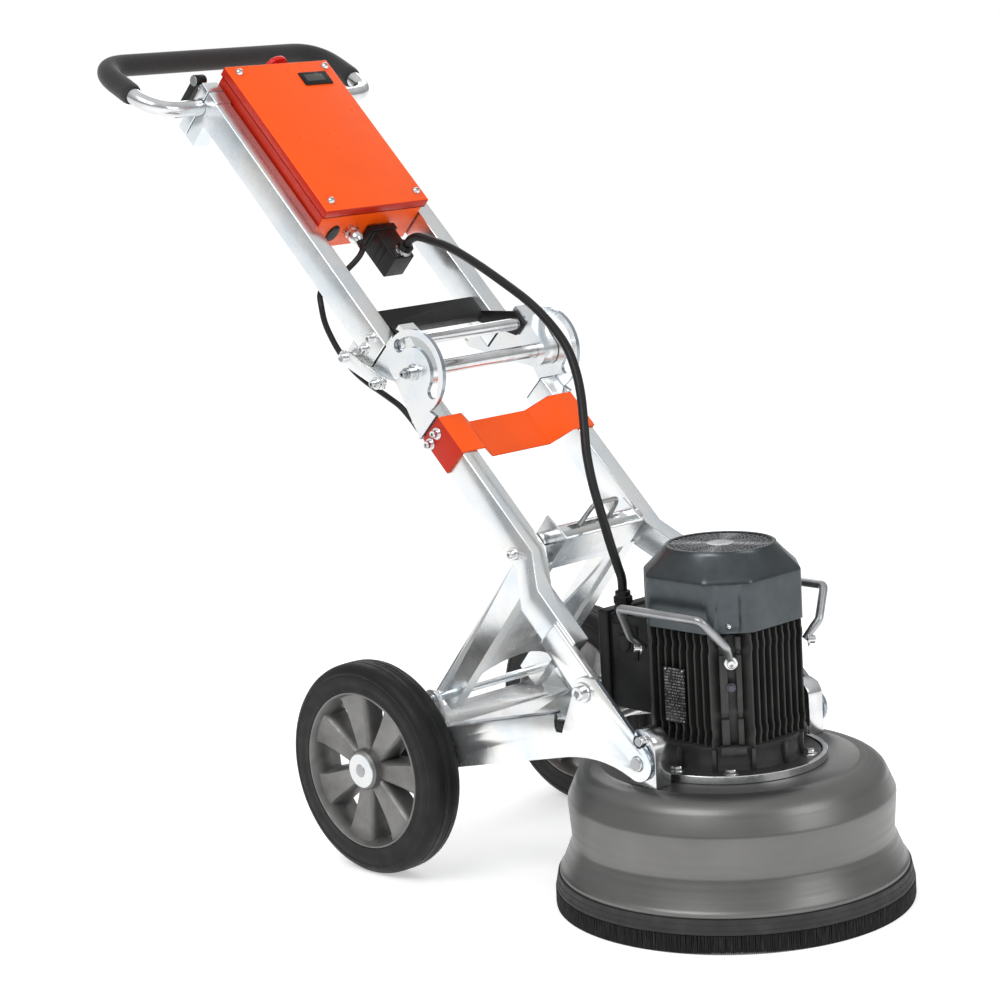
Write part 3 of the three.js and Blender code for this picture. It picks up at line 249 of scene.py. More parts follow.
def zinc_finish(name, base):
    s = Shader(name, base, 0.25, 0.9)
    cooler = tuple(a * b for a, b in zip(base, (0.88, 0.93, 0.97)))
    warmer = tuple(a * b for a, b in zip(base, (1.04, 1.01, 0.96)))
    s.paint(s.noise(11, 3), [(0.34, cooler), (0.5, 1.0), (0.68, warmer)])
    s.rough(s.noise(38, 5), 0.19, 0.29)
    s.bump(s.noise(300, 3), 0.05, 0.0003)
    return s.material


def spun_finish(name, base):
    s = Shader(name, base, 0.38, 0.85)
    ring = s.rings("Z", (HEAD_X, 0, 0))
    s.paint(s.noise(7, 4), [(0.3, 0.86), (0.55, 1.0), (0.75, 1.12)])
    s.rough(s.noise(160, 4, place=ring), 0.31, 0.44)
    s.bump(s.noise(900, 2, place=ring), 0.12, 0.0003)
    s.bump(s.noise(260, 3), 0.05, 0.0003)
    return s.material


def coat_finish(name, base, roughness=0.32, speckle=0.10):
    s = Shader(name, base, roughness)
    s.main.inputs["Specular IOR Level"].default_value = 0.25
    s.main.inputs["Coat Weight"].default_value = 0.03
    s.main.inputs["Coat Roughness"].default_value = 0.22
    s.paint(s.noise(11, 4), [(0.3, 0.94), (0.55, 1.0), (0.8, 1.05)])
    s.rough(s.noise(60, 4), roughness - 0.05, roughness + 0.08)
    s.bump(s.noise(620, 2), speckle, 0.0003)
    return s.material


def cast_finish(name, base, metallic=0.35, grain=420, strength=0.28):
    s = Shader(name, base, 0.45, metallic)
    s.paint(s.noise(18, 5), [(0.28, 0.72), (0.5, 1.0), (0.8, 1.35)])
    s.rough(s.noise(70, 4), 0.34, 0.54)
    s.bump(s.noise(grain, 4), strength, 0.0004)
    return s.material


def plastic_finish(name, base, roughness=0.42):
    s = Shader(name, base, roughness)
    s.main.inputs["Specular IOR Level"].default_value = 0.3
    s.paint(s.noise(25, 4), [(0.3, 0.8), (0.6, 1.0), (0.85, 1.5)])
    s.rough(s.noise(90, 3), roughness - 0.07, roughness + 0.08)
    s.bump(s.cells(1500), 0.12, 0.0002)
    return s.material


def rubber_finish(name, base, rough_low=0.55, rough_high=0.75):
    s = Shader(name, base, 0.65)
    s.main.inputs["Specular IOR Level"].default_value = 0.35
    s.paint(s.noise(30, 5), [(0.3, 0.8), (0.55, 1.0), (0.8, 1.6)])
    s.rough(s.noise(50, 4), rough_low, rough_high)
    s.bump(s.noise(700, 3), 0.15, 0.0003)
    return s.material


def tyre_finish(name):
    s = Shader(name, (0.006, 0.006, 0.0063), 0.6)
    s.main.inputs["Specular IOR Level"].default_value = 0.3
    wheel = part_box("axle")
    centre = ((wheel[0][0] + wheel[1][0]) / 2, 0, (wheel[0][2] + wheel[1][2]) / 2)
    ring = s.rings("Y", centre)
    s.paint(s.noise(24, 5), [(0.3, 0.75), (0.6, 1.0), (0.85, 2.0)])
    s.rough(s.noise(40, 4), 0.42, 0.62)
    s.bump(s.noise(420, 1, place=ring), 0.18, 0.0006)
    return s.material


def foam_finish(name, base):
    s = Shader(name, base, 0.9)
    s.main.inputs["Sheen Weight"].default_value = 0.25
    s.paint(s.noise(600, 3), [(0.35, 0.7), (0.55, 1.0), (0.75, 2.2)])
    s.bump(s.cells(900), 0.5, 0.0004)
    return s.material


def bright_finish(name, base=(0.70, 0.71, 0.72), low=0.14, high=0.26):
    s = Shader(name, base, 0.2, 1.0)
    s.paint(s.noise(35, 3), [(0.3, 0.85), (0.6, 1.0), (0.8, 1.08)])
    s.rough(s.noise(120, 5), low, high)
    s.bump(s.noise(900, 2, place=s.stretched((1, 0.15, 1))), 0.05, 0.0002)
    return s.material


def bristle_finish(name):
    s = Shader(name, (0.012, 0.012, 0.012), 0.6)
    s.main.inputs["Specular IOR Level"].default_value = 0.2
    s.paint(s.noise(420, 3, place=s.stretched((1, 1, 0.1))), [(0.3, 0.35), (0.55, 1.0), (0.75, 3.0)])
    s.rough(s.noise(200, 2), 0.45, 0.65)
    return s.material


def plate_finish(name):
    """Generic rating plate: dark, with rows of fine pale marks that spell nothing"""
    s = Shader(name, (0.02, 0.02, 0.021), 0.35, 0.3)
    rows = s.noise(1.0, 1, place=s.stretched((900, 900, 240)))
    lines = s.node("ShaderNodeTexWave", bands_direction="Z")
    lines.inputs["Scale"].default_value = 75
    s.link(s.place, lines.inputs["Vector"])
    both = s.node("ShaderNodeMath", operation="MULTIPLY")
    s.link(s.between(rows, 0.52, 0.6, 0, 1), both.inputs[0])
    s.link(s.between(lines.outputs["Fac"], 0.55, 0.7, 0, 1), both.inputs[1])
    s.paint(both.outputs[0], [(0.3, 1.0), (0.6, (0.34, 0.34, 0.34))])
    s.rough(s.noise(80, 3), 0.25, 0.38)
    return s.material


def floor_finish(name):
    s = Shader(name, (0.92, 0.92, 0.92), 0.8)
    s.main.inputs["Emission Color"].default_value = (1, 1, 1, 1)
    s.main.inputs["Emission Strength"].default_value = 0.46
    s.paint(s.noise(2, 2), [(0.3, 0.995), (0.7, 1.0)])
    return s.material


def make_finishes(colours):
    """All the finishes, named for what they are on"""
    FINISH.update({
        "zinc": zinc_finish("bright zinc plate", colours.zinc),
        "zinc_edge": zinc_finish("blued zinc edge", (0.38, 0.42, 0.46)),
        "spun": spun_finish("spun shroud steel", colours.spun),
        "orange": coat_finish("orange powder coat", colours.orange),
        # the orange coat again, darker: painted shade for the side and flange faces
        "shaded_orange": coat_finish("orange powder coat in painted shade", colours.shaded_orange),
        "motor": cast_finish("motor casting paint", colours.motor),
        "cover": bright_finish("fan cover paint", colours.cover, 0.27, 0.36),
        "cast": cast_finish("silver casting", colours.cast, 0.75, 380, 0.22),
        "black": plastic_finish("black plastic", (0.006, 0.006, 0.0065)),
        # near-black bristle core, darker than the bristles themselves: painted shade deep in the brush
        "dark": plastic_finish("bristle core in painted shade", (0.004, 0.004, 0.004), 0.7),
        "rubber": rubber_finish("cable rubber", (0.006, 0.006, 0.0065), 0.34, 0.5),
        "band": rubber_finish("skirt band rubber", (0.030, 0.030, 0.031)),
        "tyre": tyre_finish("tyre rubber"),
        "bristle": bristle_finish("brush bristle"),
        "foam": foam_finish("grip foam", colours.foam),
        "bright": bright_finish("turned bright steel"),
        "satin": bright_finish("satin drawn steel", (0.40, 0.41, 0.42), 0.28, 0.42),
        "blued": bright_finish("blackened screw steel", (0.10, 0.105, 0.12), 0.25, 0.4),
        "wire": bright_finish("dark grille wire", (0.16, 0.165, 0.17), 0.3, 0.45),
        "hub": zinc_finish("zinc hub cap", (0.66, 0.68, 0.69)),
        "stop": coat_finish("stop button red", colours.stop, 0.2, 0.03),
        "display": plastic_finish("meter display", (0.07, 0.075, 0.07), 0.25),
        "plate": plate_finish("rating plate"),
        "floor": floor_finish("pale floor"),
    })


# ------------------------------------------------------------------ mesh tools
def plain_mesh(name, bm):
    mesh = bpy.data.meshes.new(name)
    bm.to_mesh(mesh)
    bm.free()
    return mesh

def finished(name, bm, place, finish, body, replaced=(), angle=32):
    """The mesh made in millimetres becomes a piece in the row frame that rides on its body"""
    bmesh.ops.remove_doubles(bm, verts=bm.verts, dist=1e-4)
    bm.transform(place)
    bmesh.ops.recalc_face_normals(bm, faces=bm.faces)
    return dressed(name, plain_mesh(name, bm), finish, body, replaced, angle=angle)


def dressed(name, mesh, finish, body, replaced=(), edge=0.0, angle=32, steps=2, finishes=()):
    """Shading, finish, rounded edges and body for a mesh that is already in the row frame"""
    if not mesh.polygons:
        raise RuntimeError(f"{name}: its mesh has no faces")
    piece = bpy.data.objects.new(name, mesh)
    bpy.context.scene.collection.objects.link(piece)
    if len(mesh.materials):  # clearing an empty list would reset the faces' finishes
        mesh.materials.clear()
    for one in (finish, *finishes):
        mesh.materials.append(FINISH[one])
    mesh.polygons.foreach_set("use_smooth", [True] * len(mesh.polygons))
    if edge:
        bevel = piece.modifiers.new("Broken edges", "BEVEL")
        bevel.width = edge
        bevel.segments = steps
        bevel.limit_method = "ANGLE"
        bevel.angle_limit = math.radians(angle)
        bevel.use_clamp_overlap = False
        bevel.harden_normals = True
    else:
        mesh.set_sharp_from_angle(angle=math.radians(angle))
    if replaced:
        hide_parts(*replaced)
    if body:
        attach(piece, body)
    return piece


def softened(node, finish, edge, angle=32, steps=2, finishes=(), choose=None):
    """A copy of a CAD node with its flat faces whole and its edges rounded"""
    source = NODES[node]
    bm = bmesh.new()
    bm.from_mesh(source.data)
    bmesh.ops.remove_doubles(bm, verts=bm.verts, dist=1e-6)
    bmesh.ops.dissolve_limit(
        bm, angle_limit=math.radians(0.6), verts=bm.verts, edges=bm.edges, delimit={"NORMAL"})
    if choose:
        for face in bm.faces:
            face.material_index = choose(face)
    name = f"{node}_piece"
    return dressed(name, plain_mesh(name, bm), finish, source["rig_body"],
                   (node,), edge, angle, steps, finishes)


def lathe(bm, rings, segments, closed=False, place=Matrix.Identity(4)):
    """Rings of (radius, height) or (radius, height, sides) about Z, joined in order"""
    rows = []
    for ring in rings:
        radius, height = ring[:2]
        sides = ring[2] if len(ring) > 2 else 0
        if radius == 0:
            rows.append([bm.verts.new(place @ Vector((0, 0, height)))])
            continue
        row = []
        for i in range(segments):
            a = 2 * math.pi * i / segments
            r = radius
            if sides:
                part = 2 * math.pi / sides
                r = radius * math.cos(part / 2) / math.cos((a % part) - part / 2)
            row.append(bm.verts.new(place @ Vector((r * math.cos(a), r * math.sin(a), height))))
        rows.append(row)
    pairs = list(zip(rows, rows[1:])) + ([(rows[-1], rows[0])] if closed else [])
    for low, high in pairs:
        for i in range(segments):
            j = (i + 1) % segments
            if len(low) == 1:
                corners = (low[0], high[j], high[i])
            elif len(high) == 1:
                corners = (low[i], low[j], high[0])
            else:
                corners = (low[i], low[j], high[j], high[i])
            bm.faces.new(corners)
    return bm

def skinned(bm, rows):
    """Faces between rows of vertices that each run all the way round"""
    for low, high in zip(rows, rows[1:]):
        for i in range(len(low)):
            j = (i + 1) % len(low)
            bm.faces.new((low[i], low[j], high[j], high[i]))


def rounded_box(bm, lo, hi, radius, place=Matrix.Identity(4)):
    """A box between two corners with every edge rounded"""
    lo, hi = Vector(lo), Vector(hi)
    made = bmesh.ops.create_cube(bm, size=1)["verts"]
    middle = Matrix.Translation((lo + hi) / 2) @ Matrix.Diagonal((*(hi - lo), 1))
    bmesh.ops.transform(bm, matrix=middle, verts=made)
    edges = list({e for v in made for e in v.link_edges})
    bevelled = bmesh.ops.bevel(bm, geom=edges, offset=radius, segments=2, profile=0.5,
                               affect="EDGES", clamp_overlap=True)
    made = list({v for f in bevelled["faces"] for v in f.verts} | {v for v in made if v.is_valid})
    bmesh.ops.transform(bm, matrix=place, verts=made)
    return bm

def resampled(points, steps):
    """Points evenly spaced along a line of points"""
    reach = [0.0]
    for a, b in zip(points, points[1:]):
        reach.append(reach[-1] + (b - a).length)
    made, k = [], 0
    for i in range(steps + 1):
        target = reach[-1] * i / steps
        while k < len(points) - 2 and reach[k + 1] < target:
            k += 1
        span = reach[k + 1] - reach[k] or 1
        made.append(points[k].lerp(points[k + 1], min(1, max(0, (target - reach[k]) / span))))
    return made


def smooth_route(route, dense=24):
    """A smooth line through every point of a route"""
    points = [Vector(p) for p in route]
    ends = [2 * points[0] - points[1], *points, 2 * points[-1] - points[-2]]
    line = []
    for i in range(1, len(ends) - 2):
        a, b, c, d = ends[i - 1:i + 3]
        for k in range(dense):
            t = k / dense
            line.append(0.5 * ((2 * b) + (c - a) * t + (2 * a - 5 * b + 4 * c - d) * t * t
                               + (3 * b - a - 3 * c + d) * t ** 3))
    line.append(points[-1])
    return line


def bent_path(points, radius, dense=10):
    """Straight runs with every inner corner rounded"""
    points = [Vector(p) for p in points]
    line = [points[0]]
    for before, corner, after in zip(points, points[1:], points[2:]):
        back = (before - corner).normalized()
        on = (after - corner).normalized()
        reach = radius / math.tan(back.angle(on) / 2)
        a, b = corner + back * reach, corner + on * reach
        for k in range(dense + 1):
            t = k / dense
            line.append(a * (1 - t) ** 2 + corner * 2 * t * (1 - t) + b * t * t)
    line.append(points[-1])
    return line


def tube(bm, line, radius, sides, radii=None):
    """A round tube along a line of points, without twist"""
    way = (line[1] - line[0]).normalized()
    side = way.orthogonal().normalized()
    rows = []
    for k, point in enumerate(line):
        before, after = line[max(0, k - 1)], line[min(len(line) - 1, k + 1)]
        new_way = (after - before).normalized()
        side = way.rotation_difference(new_way).to_matrix() @ side
        side = (side - new_way * side.dot(new_way)).normalized()
        way = new_way
        up = way.cross(side)
        r = radii[k] if radii else radius
        rows.append([bm.verts.new(point + side * r * math.cos(2 * math.pi * i / sides)
                                  + up * r * math.sin(2 * math.pi * i / sides)) for i in range(sides)])
    skinned(bm, rows)
    bm.faces.new(list(reversed(rows[0])))
    bm.faces.new(rows[-1])
    return bm

def facing(point, way):
    """A place whose Z axis looks along the given way"""
    return Matrix.Translation(point) @ Vector(way).to_track_quat("Z", "Y").to_matrix().to_4x4()


# ------------------------------------------------------------------ geometry node trees
def new_tree(name, inputs):
    tree = bpy.data.node_groups.new(name, "GeometryNodeTree")
    tree.is_modifier = True
    tree.interface.new_socket("Geometry", in_out="INPUT", socket_type="NodeSocketGeometry")
    tree.interface.new_socket("Geometry", in_out="OUTPUT", socket_type="NodeSocketGeometry")
    for label, kind in inputs:
        tree.interface.new_socket(label, in_out="INPUT", socket_type=f"NodeSocket{kind}")
    return tree, tree.nodes.new("NodeGroupInput"), tree.nodes.new("NodeGroupOutput")


def wire_up(tree, *pairs):
    for source, target in pairs:
        tree.links.new(source, target)


def end_tree(tree, given, result, source):
    real = tree.nodes.new("GeometryNodeRealizeInstances")
    paint = tree.nodes.new("GeometryNodeSetMaterial")
    wire_up(tree, (source, real.inputs[0]), (real.outputs[0], paint.inputs["Geometry"]),
            (given.outputs["Material"], paint.inputs["Material"]),
            (paint.outputs[0], result.inputs["Geometry"]))


def math_node(tree, operation, first, second):
    made = tree.nodes.new("ShaderNodeMath")
    made.operation = operation
    for socket, value in zip(made.inputs, (first, second)):
        if isinstance(value, (int, float)):
            socket.default_value = value
        else:
            tree.links.new(value, socket)
    return made.outputs[0]


def fastener_tree():
    """One head on every point, standing the way its attribute says"""
    tree, given, result = new_tree("Fasteners", [("Head", "Object"), ("Material", "Material")])
    head = tree.nodes.new("GeometryNodeObjectInfo")
    put = tree.nodes.new("GeometryNodeInstanceOnPoints")
    way = tree.nodes.new("GeometryNodeInputNamedAttribute")
    way.data_type = "FLOAT_VECTOR"
    way.inputs["Name"].default_value = "facing"
    turn = tree.nodes.new("FunctionNodeAlignRotationToVector")
    turn.axis = "Z"
    wire_up(tree, (given.outputs["Head"], head.inputs["Object"]), (head.outputs["Geometry"], put.inputs["Instance"]),
            (given.outputs["Geometry"], put.inputs["Points"]),
            (way.outputs["Attribute"], turn.inputs["Vector"]), (turn.outputs[0], put.inputs["Rotation"]))
    end_tree(tree, given, result, put.outputs[0])
    return tree


def around_tree():
    """Copies of one shape turned about the Z axis"""
    tree, given, result = new_tree("Turned copies", [("Shape", "Object"), ("Count", "Int"), ("Material", "Material")])
    shape = tree.nodes.new("GeometryNodeObjectInfo")
    row = tree.nodes.new("GeometryNodeMeshLine")
    row.inputs["Offset"].default_value = (0, 0, 0)
    put = tree.nodes.new("GeometryNodeInstanceOnPoints")
    number = tree.nodes.new("GeometryNodeInputIndex").outputs[0]
    share = math_node(tree, "DIVIDE", number, given.outputs["Count"])
    turn = tree.nodes.new("ShaderNodeCombineXYZ")
    tree.links.new(math_node(tree, "MULTIPLY", share, 2 * math.pi), turn.inputs["Z"])
    wire_up(tree, (given.outputs["Shape"], shape.inputs["Object"]),
            (shape.outputs["Geometry"], put.inputs["Instance"]),
            (given.outputs["Count"], row.inputs["Count"]), (row.outputs[0], put.inputs["Points"]),
            (turn.outputs[0], put.inputs["Rotation"]))
    end_tree(tree, given, result, put.outputs[0])
    return tree


def fins_tree():
    """A row of fins, repeated on the four sides of the motor"""
    tree, given, result = new_tree(
        "Cooling fins", [("Fin", "Object"), ("Count", "Int"), ("Pitch", "Float"), ("Material", "Material")])
    fin = tree.nodes.new("GeometryNodeObjectInfo")
    row, sides = tree.nodes.new("GeometryNodeMeshLine"), tree.nodes.new("GeometryNodeMeshLine")
    step, start = tree.nodes.new("ShaderNodeCombineXYZ"), tree.nodes.new("ShaderNodeCombineXYZ")
    half = math_node(tree, "MULTIPLY", math_node(tree, "SUBTRACT", given.outputs["Count"], 1), -0.5)
    put, round_put = (tree.nodes.new("GeometryNodeInstanceOnPoints") for _ in range(2))
    sides.inputs["Count"].default_value = 4
    sides.inputs["Offset"].default_value = (0, 0, 0)
    turn = tree.nodes.new("ShaderNodeCombineXYZ")
    number = tree.nodes.new("GeometryNodeInputIndex").outputs[0]
    wire_up(tree, (given.outputs["Fin"], fin.inputs["Object"]), (fin.outputs["Geometry"], put.inputs["Instance"]),
            (given.outputs["Pitch"], step.inputs["Y"]),
            (math_node(tree, "MULTIPLY", half, given.outputs["Pitch"]), start.inputs["Y"]),
            (given.outputs["Count"], row.inputs["Count"]), (step.outputs[0], row.inputs["Offset"]),
            (start.outputs[0], row.inputs["Start Location"]), (row.outputs[0], put.inputs["Points"]),
            (put.outputs[0], round_put.inputs["Instance"]), (sides.outputs[0], round_put.inputs["Points"]),
            (math_node(tree, "MULTIPLY", number, math.pi / 2), turn.inputs["Z"]),
            (turn.outputs[0], round_put.inputs["Rotation"]))
    end_tree(tree, given, result, round_put.outputs[0])
    return tree


def bristle_tree():
    """Bristle tufts standing in a ring, each leaning a little"""
    tree, given, result = new_tree("Bristle ring", [
        ("Tuft", "Object"), ("Count", "Int"), ("Radius", "Float"), ("Lean", "Float"), ("Seed", "Int"),
        ("Material", "Material")])
    tuft = tree.nodes.new("GeometryNodeObjectInfo")
    ring = tree.nodes.new("GeometryNodeMeshCircle")
    put = tree.nodes.new("GeometryNodeInstanceOnPoints")
    number = tree.nodes.new("GeometryNodeInputIndex").outputs[0]
    chance = tree.nodes.new("FunctionNodeRandomValue")
    chance.data_type = "FLOAT"
    low = math_node(tree, "MULTIPLY", given.outputs["Lean"], -1)
    turn = tree.nodes.new("ShaderNodeCombineXYZ")
    share = math_node(tree, "DIVIDE", number, given.outputs["Count"])
    wire_up(tree, (given.outputs["Tuft"], tuft.inputs["Object"]), (tuft.outputs["Geometry"], put.inputs["Instance"]),
            (given.outputs["Count"], ring.inputs["Vertices"]), (given.outputs["Radius"], ring.inputs["Radius"]),
            (ring.outputs[0], put.inputs["Points"]), (low, chance.inputs[2]),
            (given.outputs["Lean"], chance.inputs[3]), (given.outputs["Seed"], chance.inputs["Seed"]),
            (chance.outputs[1], turn.inputs["X"]),
            (math_node(tree, "MULTIPLY", share, 2 * math.pi), turn.inputs["Z"]),
            (turn.outputs[0], put.inputs["Rotation"]))
    end_tree(tree, given, result, put.outputs[0])
    return tree


def grille_tree():
    """Round wires about the middle, crossed by straight ones from the hub to the rim"""
    tree, given, result = new_tree("Fan grille", [
        ("Rings", "Int"), ("Wires", "Int"), ("Hub", "Float"), ("Rim", "Float"), ("Wire Radius", "Float"),
        ("Material", "Material")])
    joined = tree.nodes.new("GeometryNodeJoinGeometry")
    profile = tree.nodes.new("GeometryNodeCurvePrimitiveCircle")
    profile.inputs["Resolution"].default_value = 6
    thick = tree.nodes.new("GeometryNodeCurveToMesh")
    width = math_node(tree, "SUBTRACT", given.outputs["Rim"], given.outputs["Hub"])
    number = tree.nodes.new("GeometryNodeInputIndex").outputs[0]
    row, circle = tree.nodes.new("GeometryNodeMeshLine"), tree.nodes.new("GeometryNodeCurvePrimitiveCircle")
    row.inputs["Offset"].default_value = (0, 0, 0)
    circle.inputs["Resolution"].default_value = 72
    circle.inputs["Radius"].default_value = 1
    put, spread = (tree.nodes.new("GeometryNodeInstanceOnPoints") for _ in range(2))
    last = math_node(tree, "SUBTRACT", given.outputs["Rings"], 1)
    share = math_node(tree, "DIVIDE", number, last)
    size = math_node(tree, "ADD", given.outputs["Hub"], math_node(tree, "MULTIPLY", share, width))
    real, spread_real = (tree.nodes.new("GeometryNodeRealizeInstances") for _ in range(2))
    wire_up(tree, (given.outputs["Rings"], row.inputs["Count"]), (row.outputs[0], put.inputs["Points"]),
            (circle.outputs[0], put.inputs["Instance"]), (size, put.inputs["Scale"]),
            (put.outputs[0], real.inputs[0]), (real.outputs[0], joined.inputs[0]))
    wires = tree.nodes.new("GeometryNodeMeshLine")
    wires.inputs["Offset"].default_value = (0, 0, 0)
    line = tree.nodes.new("GeometryNodeCurvePrimitiveLine")
    near, far, turn = (tree.nodes.new("ShaderNodeCombineXYZ") for _ in range(3))
    part = math_node(tree, "DIVIDE", number, given.outputs["Wires"])
    wire_up(tree, (given.outputs["Hub"], near.inputs["X"]), (given.outputs["Rim"], far.inputs["X"]),
            (near.outputs[0], line.inputs["Start"]), (far.outputs[0], line.inputs["End"]),
            (given.outputs["Wires"], wires.inputs["Count"]), (wires.outputs[0], spread.inputs["Points"]),
            (line.outputs[0], spread.inputs["Instance"]),
            (math_node(tree, "MULTIPLY", part, 2 * math.pi), turn.inputs["Z"]),
            (turn.outputs[0], spread.inputs["Rotation"]),
            (spread.outputs[0], spread_real.inputs[0]), (spread_real.outputs[0], joined.inputs[0]),
            (joined.outputs[0], thick.inputs["Curve"]), (profile.outputs[0], thick.inputs["Profile Curve"]),
            (given.outputs["Wire Radius"], profile.inputs["Radius"]))
    thick.inputs["Fill Caps"].default_value = True
    end_tree(tree, given, result, thick.outputs[0])
    return tree


def grown(name, tree, values, base=None):
    """The plain mesh that a tree makes from its named inputs and, if it needs one, a base mesh"""
    carrier = bpy.data.objects.new(f"{name}_carrier", base or bpy.data.meshes.new("empty"))
    bpy.context.scene.collection.objects.link(carrier)
    modifier = carrier.modifiers.new("Nodes", "NODES")
    modifier.node_group = tree
    for socket in tree.interface.items_tree:
        if socket.in_out == "INPUT" and socket.name in values:
            modifier[socket.identifier] = values[socket.name]
    graph = bpy.context.evaluated_depsgraph_get()
    mesh = bpy.data.meshes.new_from_object(carrier.evaluated_get(graph))
    bpy.data.objects.remove(carrier)
    mesh.name = name
    return mesh


def helper(name, bm):
    """A hidden object that a tree takes its shape from"""
    bmesh.ops.recalc_face_normals(bm, faces=bm.faces)
    made = bpy.data.objects.new(name, plain_mesh(name, bm))
    bpy.context.scene.collection.objects.link(made)
    return made


HEADS = {
    "socket": [(0, 0.9), (0.45, 0.9, 6), (0.5, 1.75, 6), (0.85, 1.8), (1, 1.6), (1, 0.35), (1.5, 0.33),
               (1.62, 0.2), (1.62, -0.1), (0, -0.1)],
    "dome": [(0, 0.45), (0.36, 0.45, 6), (0.4, 0.98, 6), (0.62, 0.9), (0.88, 0.6), (1, 0.2), (1, -0.1), (0, -0.1)],
    "hex": [(0, 0.9), (0.85, 0.9), (0.97, 0.8, 6), (1, 0.72, 6), (1, 0.22, 6), (1.3, 0.2), (1.35, 0.1),
            (1.35, -0.1), (0, -0.1)],
    "rivet": [(0, 0.5), (0.5, 0.43), (0.85, 0.25), (1, 0), (1, -0.1), (0, -0.1)],
    "ring": [(0, 0.25), (0.42, 0.25), (0.5, 0.6), (0.8, 0.75), (1, 0.5), (1, -0.1), (0, -0.1)],
}


def fasteners(name, style, radius, places, body, finish="bright"):
    """A set of like heads on one body; places are (point, way) in the row frame"""
    head_bm = lathe(bmesh.new(), [(r[0] * radius, r[1] * radius, *r[2:]) for r in HEADS[style]], 24)
    head = helper(f"{name}_head", head_bm)
    base = bpy.data.meshes.new(f"{name}_points")
    base.from_pydata([p for p, _ in places], [], [])
    ways = base.attributes.new("facing", "FLOAT_VECTOR", "POINT")
    for value, (_, way) in zip(ways.data, places):
        value.vector = Vector(way).normalized()
    mesh = grown(name, fastener_tree(), {"Head": head, "Material": FINISH[finish]}, base)
    bpy.data.objects.remove(head)
    return dressed(name, mesh, finish, body, angle=30)


def on_machine(x, y, z):
    return MACHINE @ Vector((x, y, z))


def on_frame(s, y, n):
    return HANDLE_FRAME @ Vector((s, y, n))


def frame_way(s, y, n):
    return HANDLE_FRAME.to_3x3() @ Vector((s, y, n))


# ------------------------------------------------------------------ cables
CABLE_SPLITS = (0, 0.46, 0.78, 1)
MOTOR_CABLE_ROUTE = (
    (-629.1, 32, 891.2), (-621, 32, 898.5), (-605, 33, 902), (-579, 34, 897), (-537, 35, 886),
    (-488, 35, 866), (-427, 33, 838), (-370, 29, 810), (-324, 24, 780), (-290, 17, 752),
    (-267, 9, 722), (-250, 0, 689), (-234, -13, 649), (-220, -25, 609), (-202, -34, 567),
    (-183, -39, 526), (-169, -40, 489), (-159, -38, 458), (-155, -35, 440), (-154, -35, 422.4),
)
CONTROL_CABLE_ROUTE = (
    (-669.3, -30, 900), (-662, -30.5, 892.7), (-657, -36, 886), (-658, -46, 875), (-665, -61, 861),
    (-672, -80, 847), (-673, -101, 838), (-664, -118, 830), (-655, -125, 815), (-648, -126, 790),
    (-636, -124, 765), (-621, -121, 742), (-600, -118, 720), (-574, -117, 704), (-549, -117, 693),
    (-523, -117.5, 682), (-500, -118, 671), (-478, -118, 653.4), (-466, -118, 641.4), (-457, -118, 632.4),
)
CABLE_BODIES = (("upper_frame", "lower_frame"), ("lower_frame", "chassis"), ("chassis", "head"))


def cable(name, node, line, diameter):
    """One run of cable as a tube along its line"""
    bm = tube(bmesh.new(), line, diameter / 2, sides=20)
    piece = finished(name, bm, Matrix.Identity(4), "rubber", None, (node,), angle=50)
    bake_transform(piece)


class GRINDER_OT_cables(bpy.types.Operator):
    """Motor cable in its three runs, and the control cable"""
    bl_idname = "grinder.cables"
    bl_label = "Cables"

    def execute(self, context):
        sizes = context.scene.grinder_sizes
        whole = resampled(smooth_route([on_machine(*p) for p in MOTOR_CABLE_ROUTE]), 300)
        for i, bodies in enumerate(CABLE_BODIES):
            first, last = (round(share * 300) for share in CABLE_SPLITS[i:i + 2])
            cable(f"motor_cable_run_{i + 1}", f"motor_cable_{i + 1}", whole[first:last + 1],
                  sizes.motor_cable)
        control = resampled(smooth_route([on_machine(*p) for p in CONTROL_CABLE_ROUTE]), 200)
        cable("control_cable_run", "control_cable", control, sizes.control_cable)
        return {"FINISHED"}


# ------------------------------------------------------------------ head
SHROUD_PROFILE = (
    (232.5, 46.6), (241.5, 46.6), (241.9, 48.2), (241.5, 51.6), (239.6, 53.2), (237.9, 56),
    (223.8, 90), (223.0, 92.6), (222.7, 95.4), (222.8, 100), (226.1, 145), (226.4, 148),
    (226.2, 151), (225.2, 154), (215.0, 177.6),
    (212.4, 182.2), (208.0, 187.2), (202.4, 191.3), (195.6, 194.6), (187, 196.6), (179.6, 197.1), (178.6, 197.6),
    (177.4, 197.6), (176.4, 197), (136.5, 197), (115, 197), (115, 193.6), (187, 193.4), (200, 188), (209.4, 178),
    (216.2, 163), (222.0, 148), (219.2, 110), (219.6, 94), (231.8, 62), (232.5, 53),
)


class GRINDER_OT_shroud(bpy.types.Operator):
    """Spun steel housing with its rolled lip, flare, crease and shoulder"""
    bl_idname = "grinder.shroud"
    bl_label = "Shroud"

    def execute(self, context):
        bm = lathe(bmesh.new(), SHROUD_PROFILE, 144, closed=True)
        finished("shroud_shell", bm, MACHINE, "spun", "head", ("shroud",), angle=40)
        ring = [(128, 197.3), (134.4, 197.3), (135, 198), (135, 207.4), (134.2, 208.3), (129, 208.3), (128, 207.3)]
        bm = lathe(bmesh.new(), ring, 128, closed=True)
        finished("collar_band", bm, MACHINE, "bright", "head", ("collar_ring",), angle=40)
        sizes = context.scene.grinder_sizes
        places = [(on_machine(112 * math.cos(math.radians(a)), 112 * math.sin(math.radians(a)), 205), (0, 0, 1))
                  for a in (28, -48, 76, 128, -128, -88, 166)]
        fasteners("flange_bolts", "hex", sizes.hex_head, places, "head")
        return {"FINISHED"}


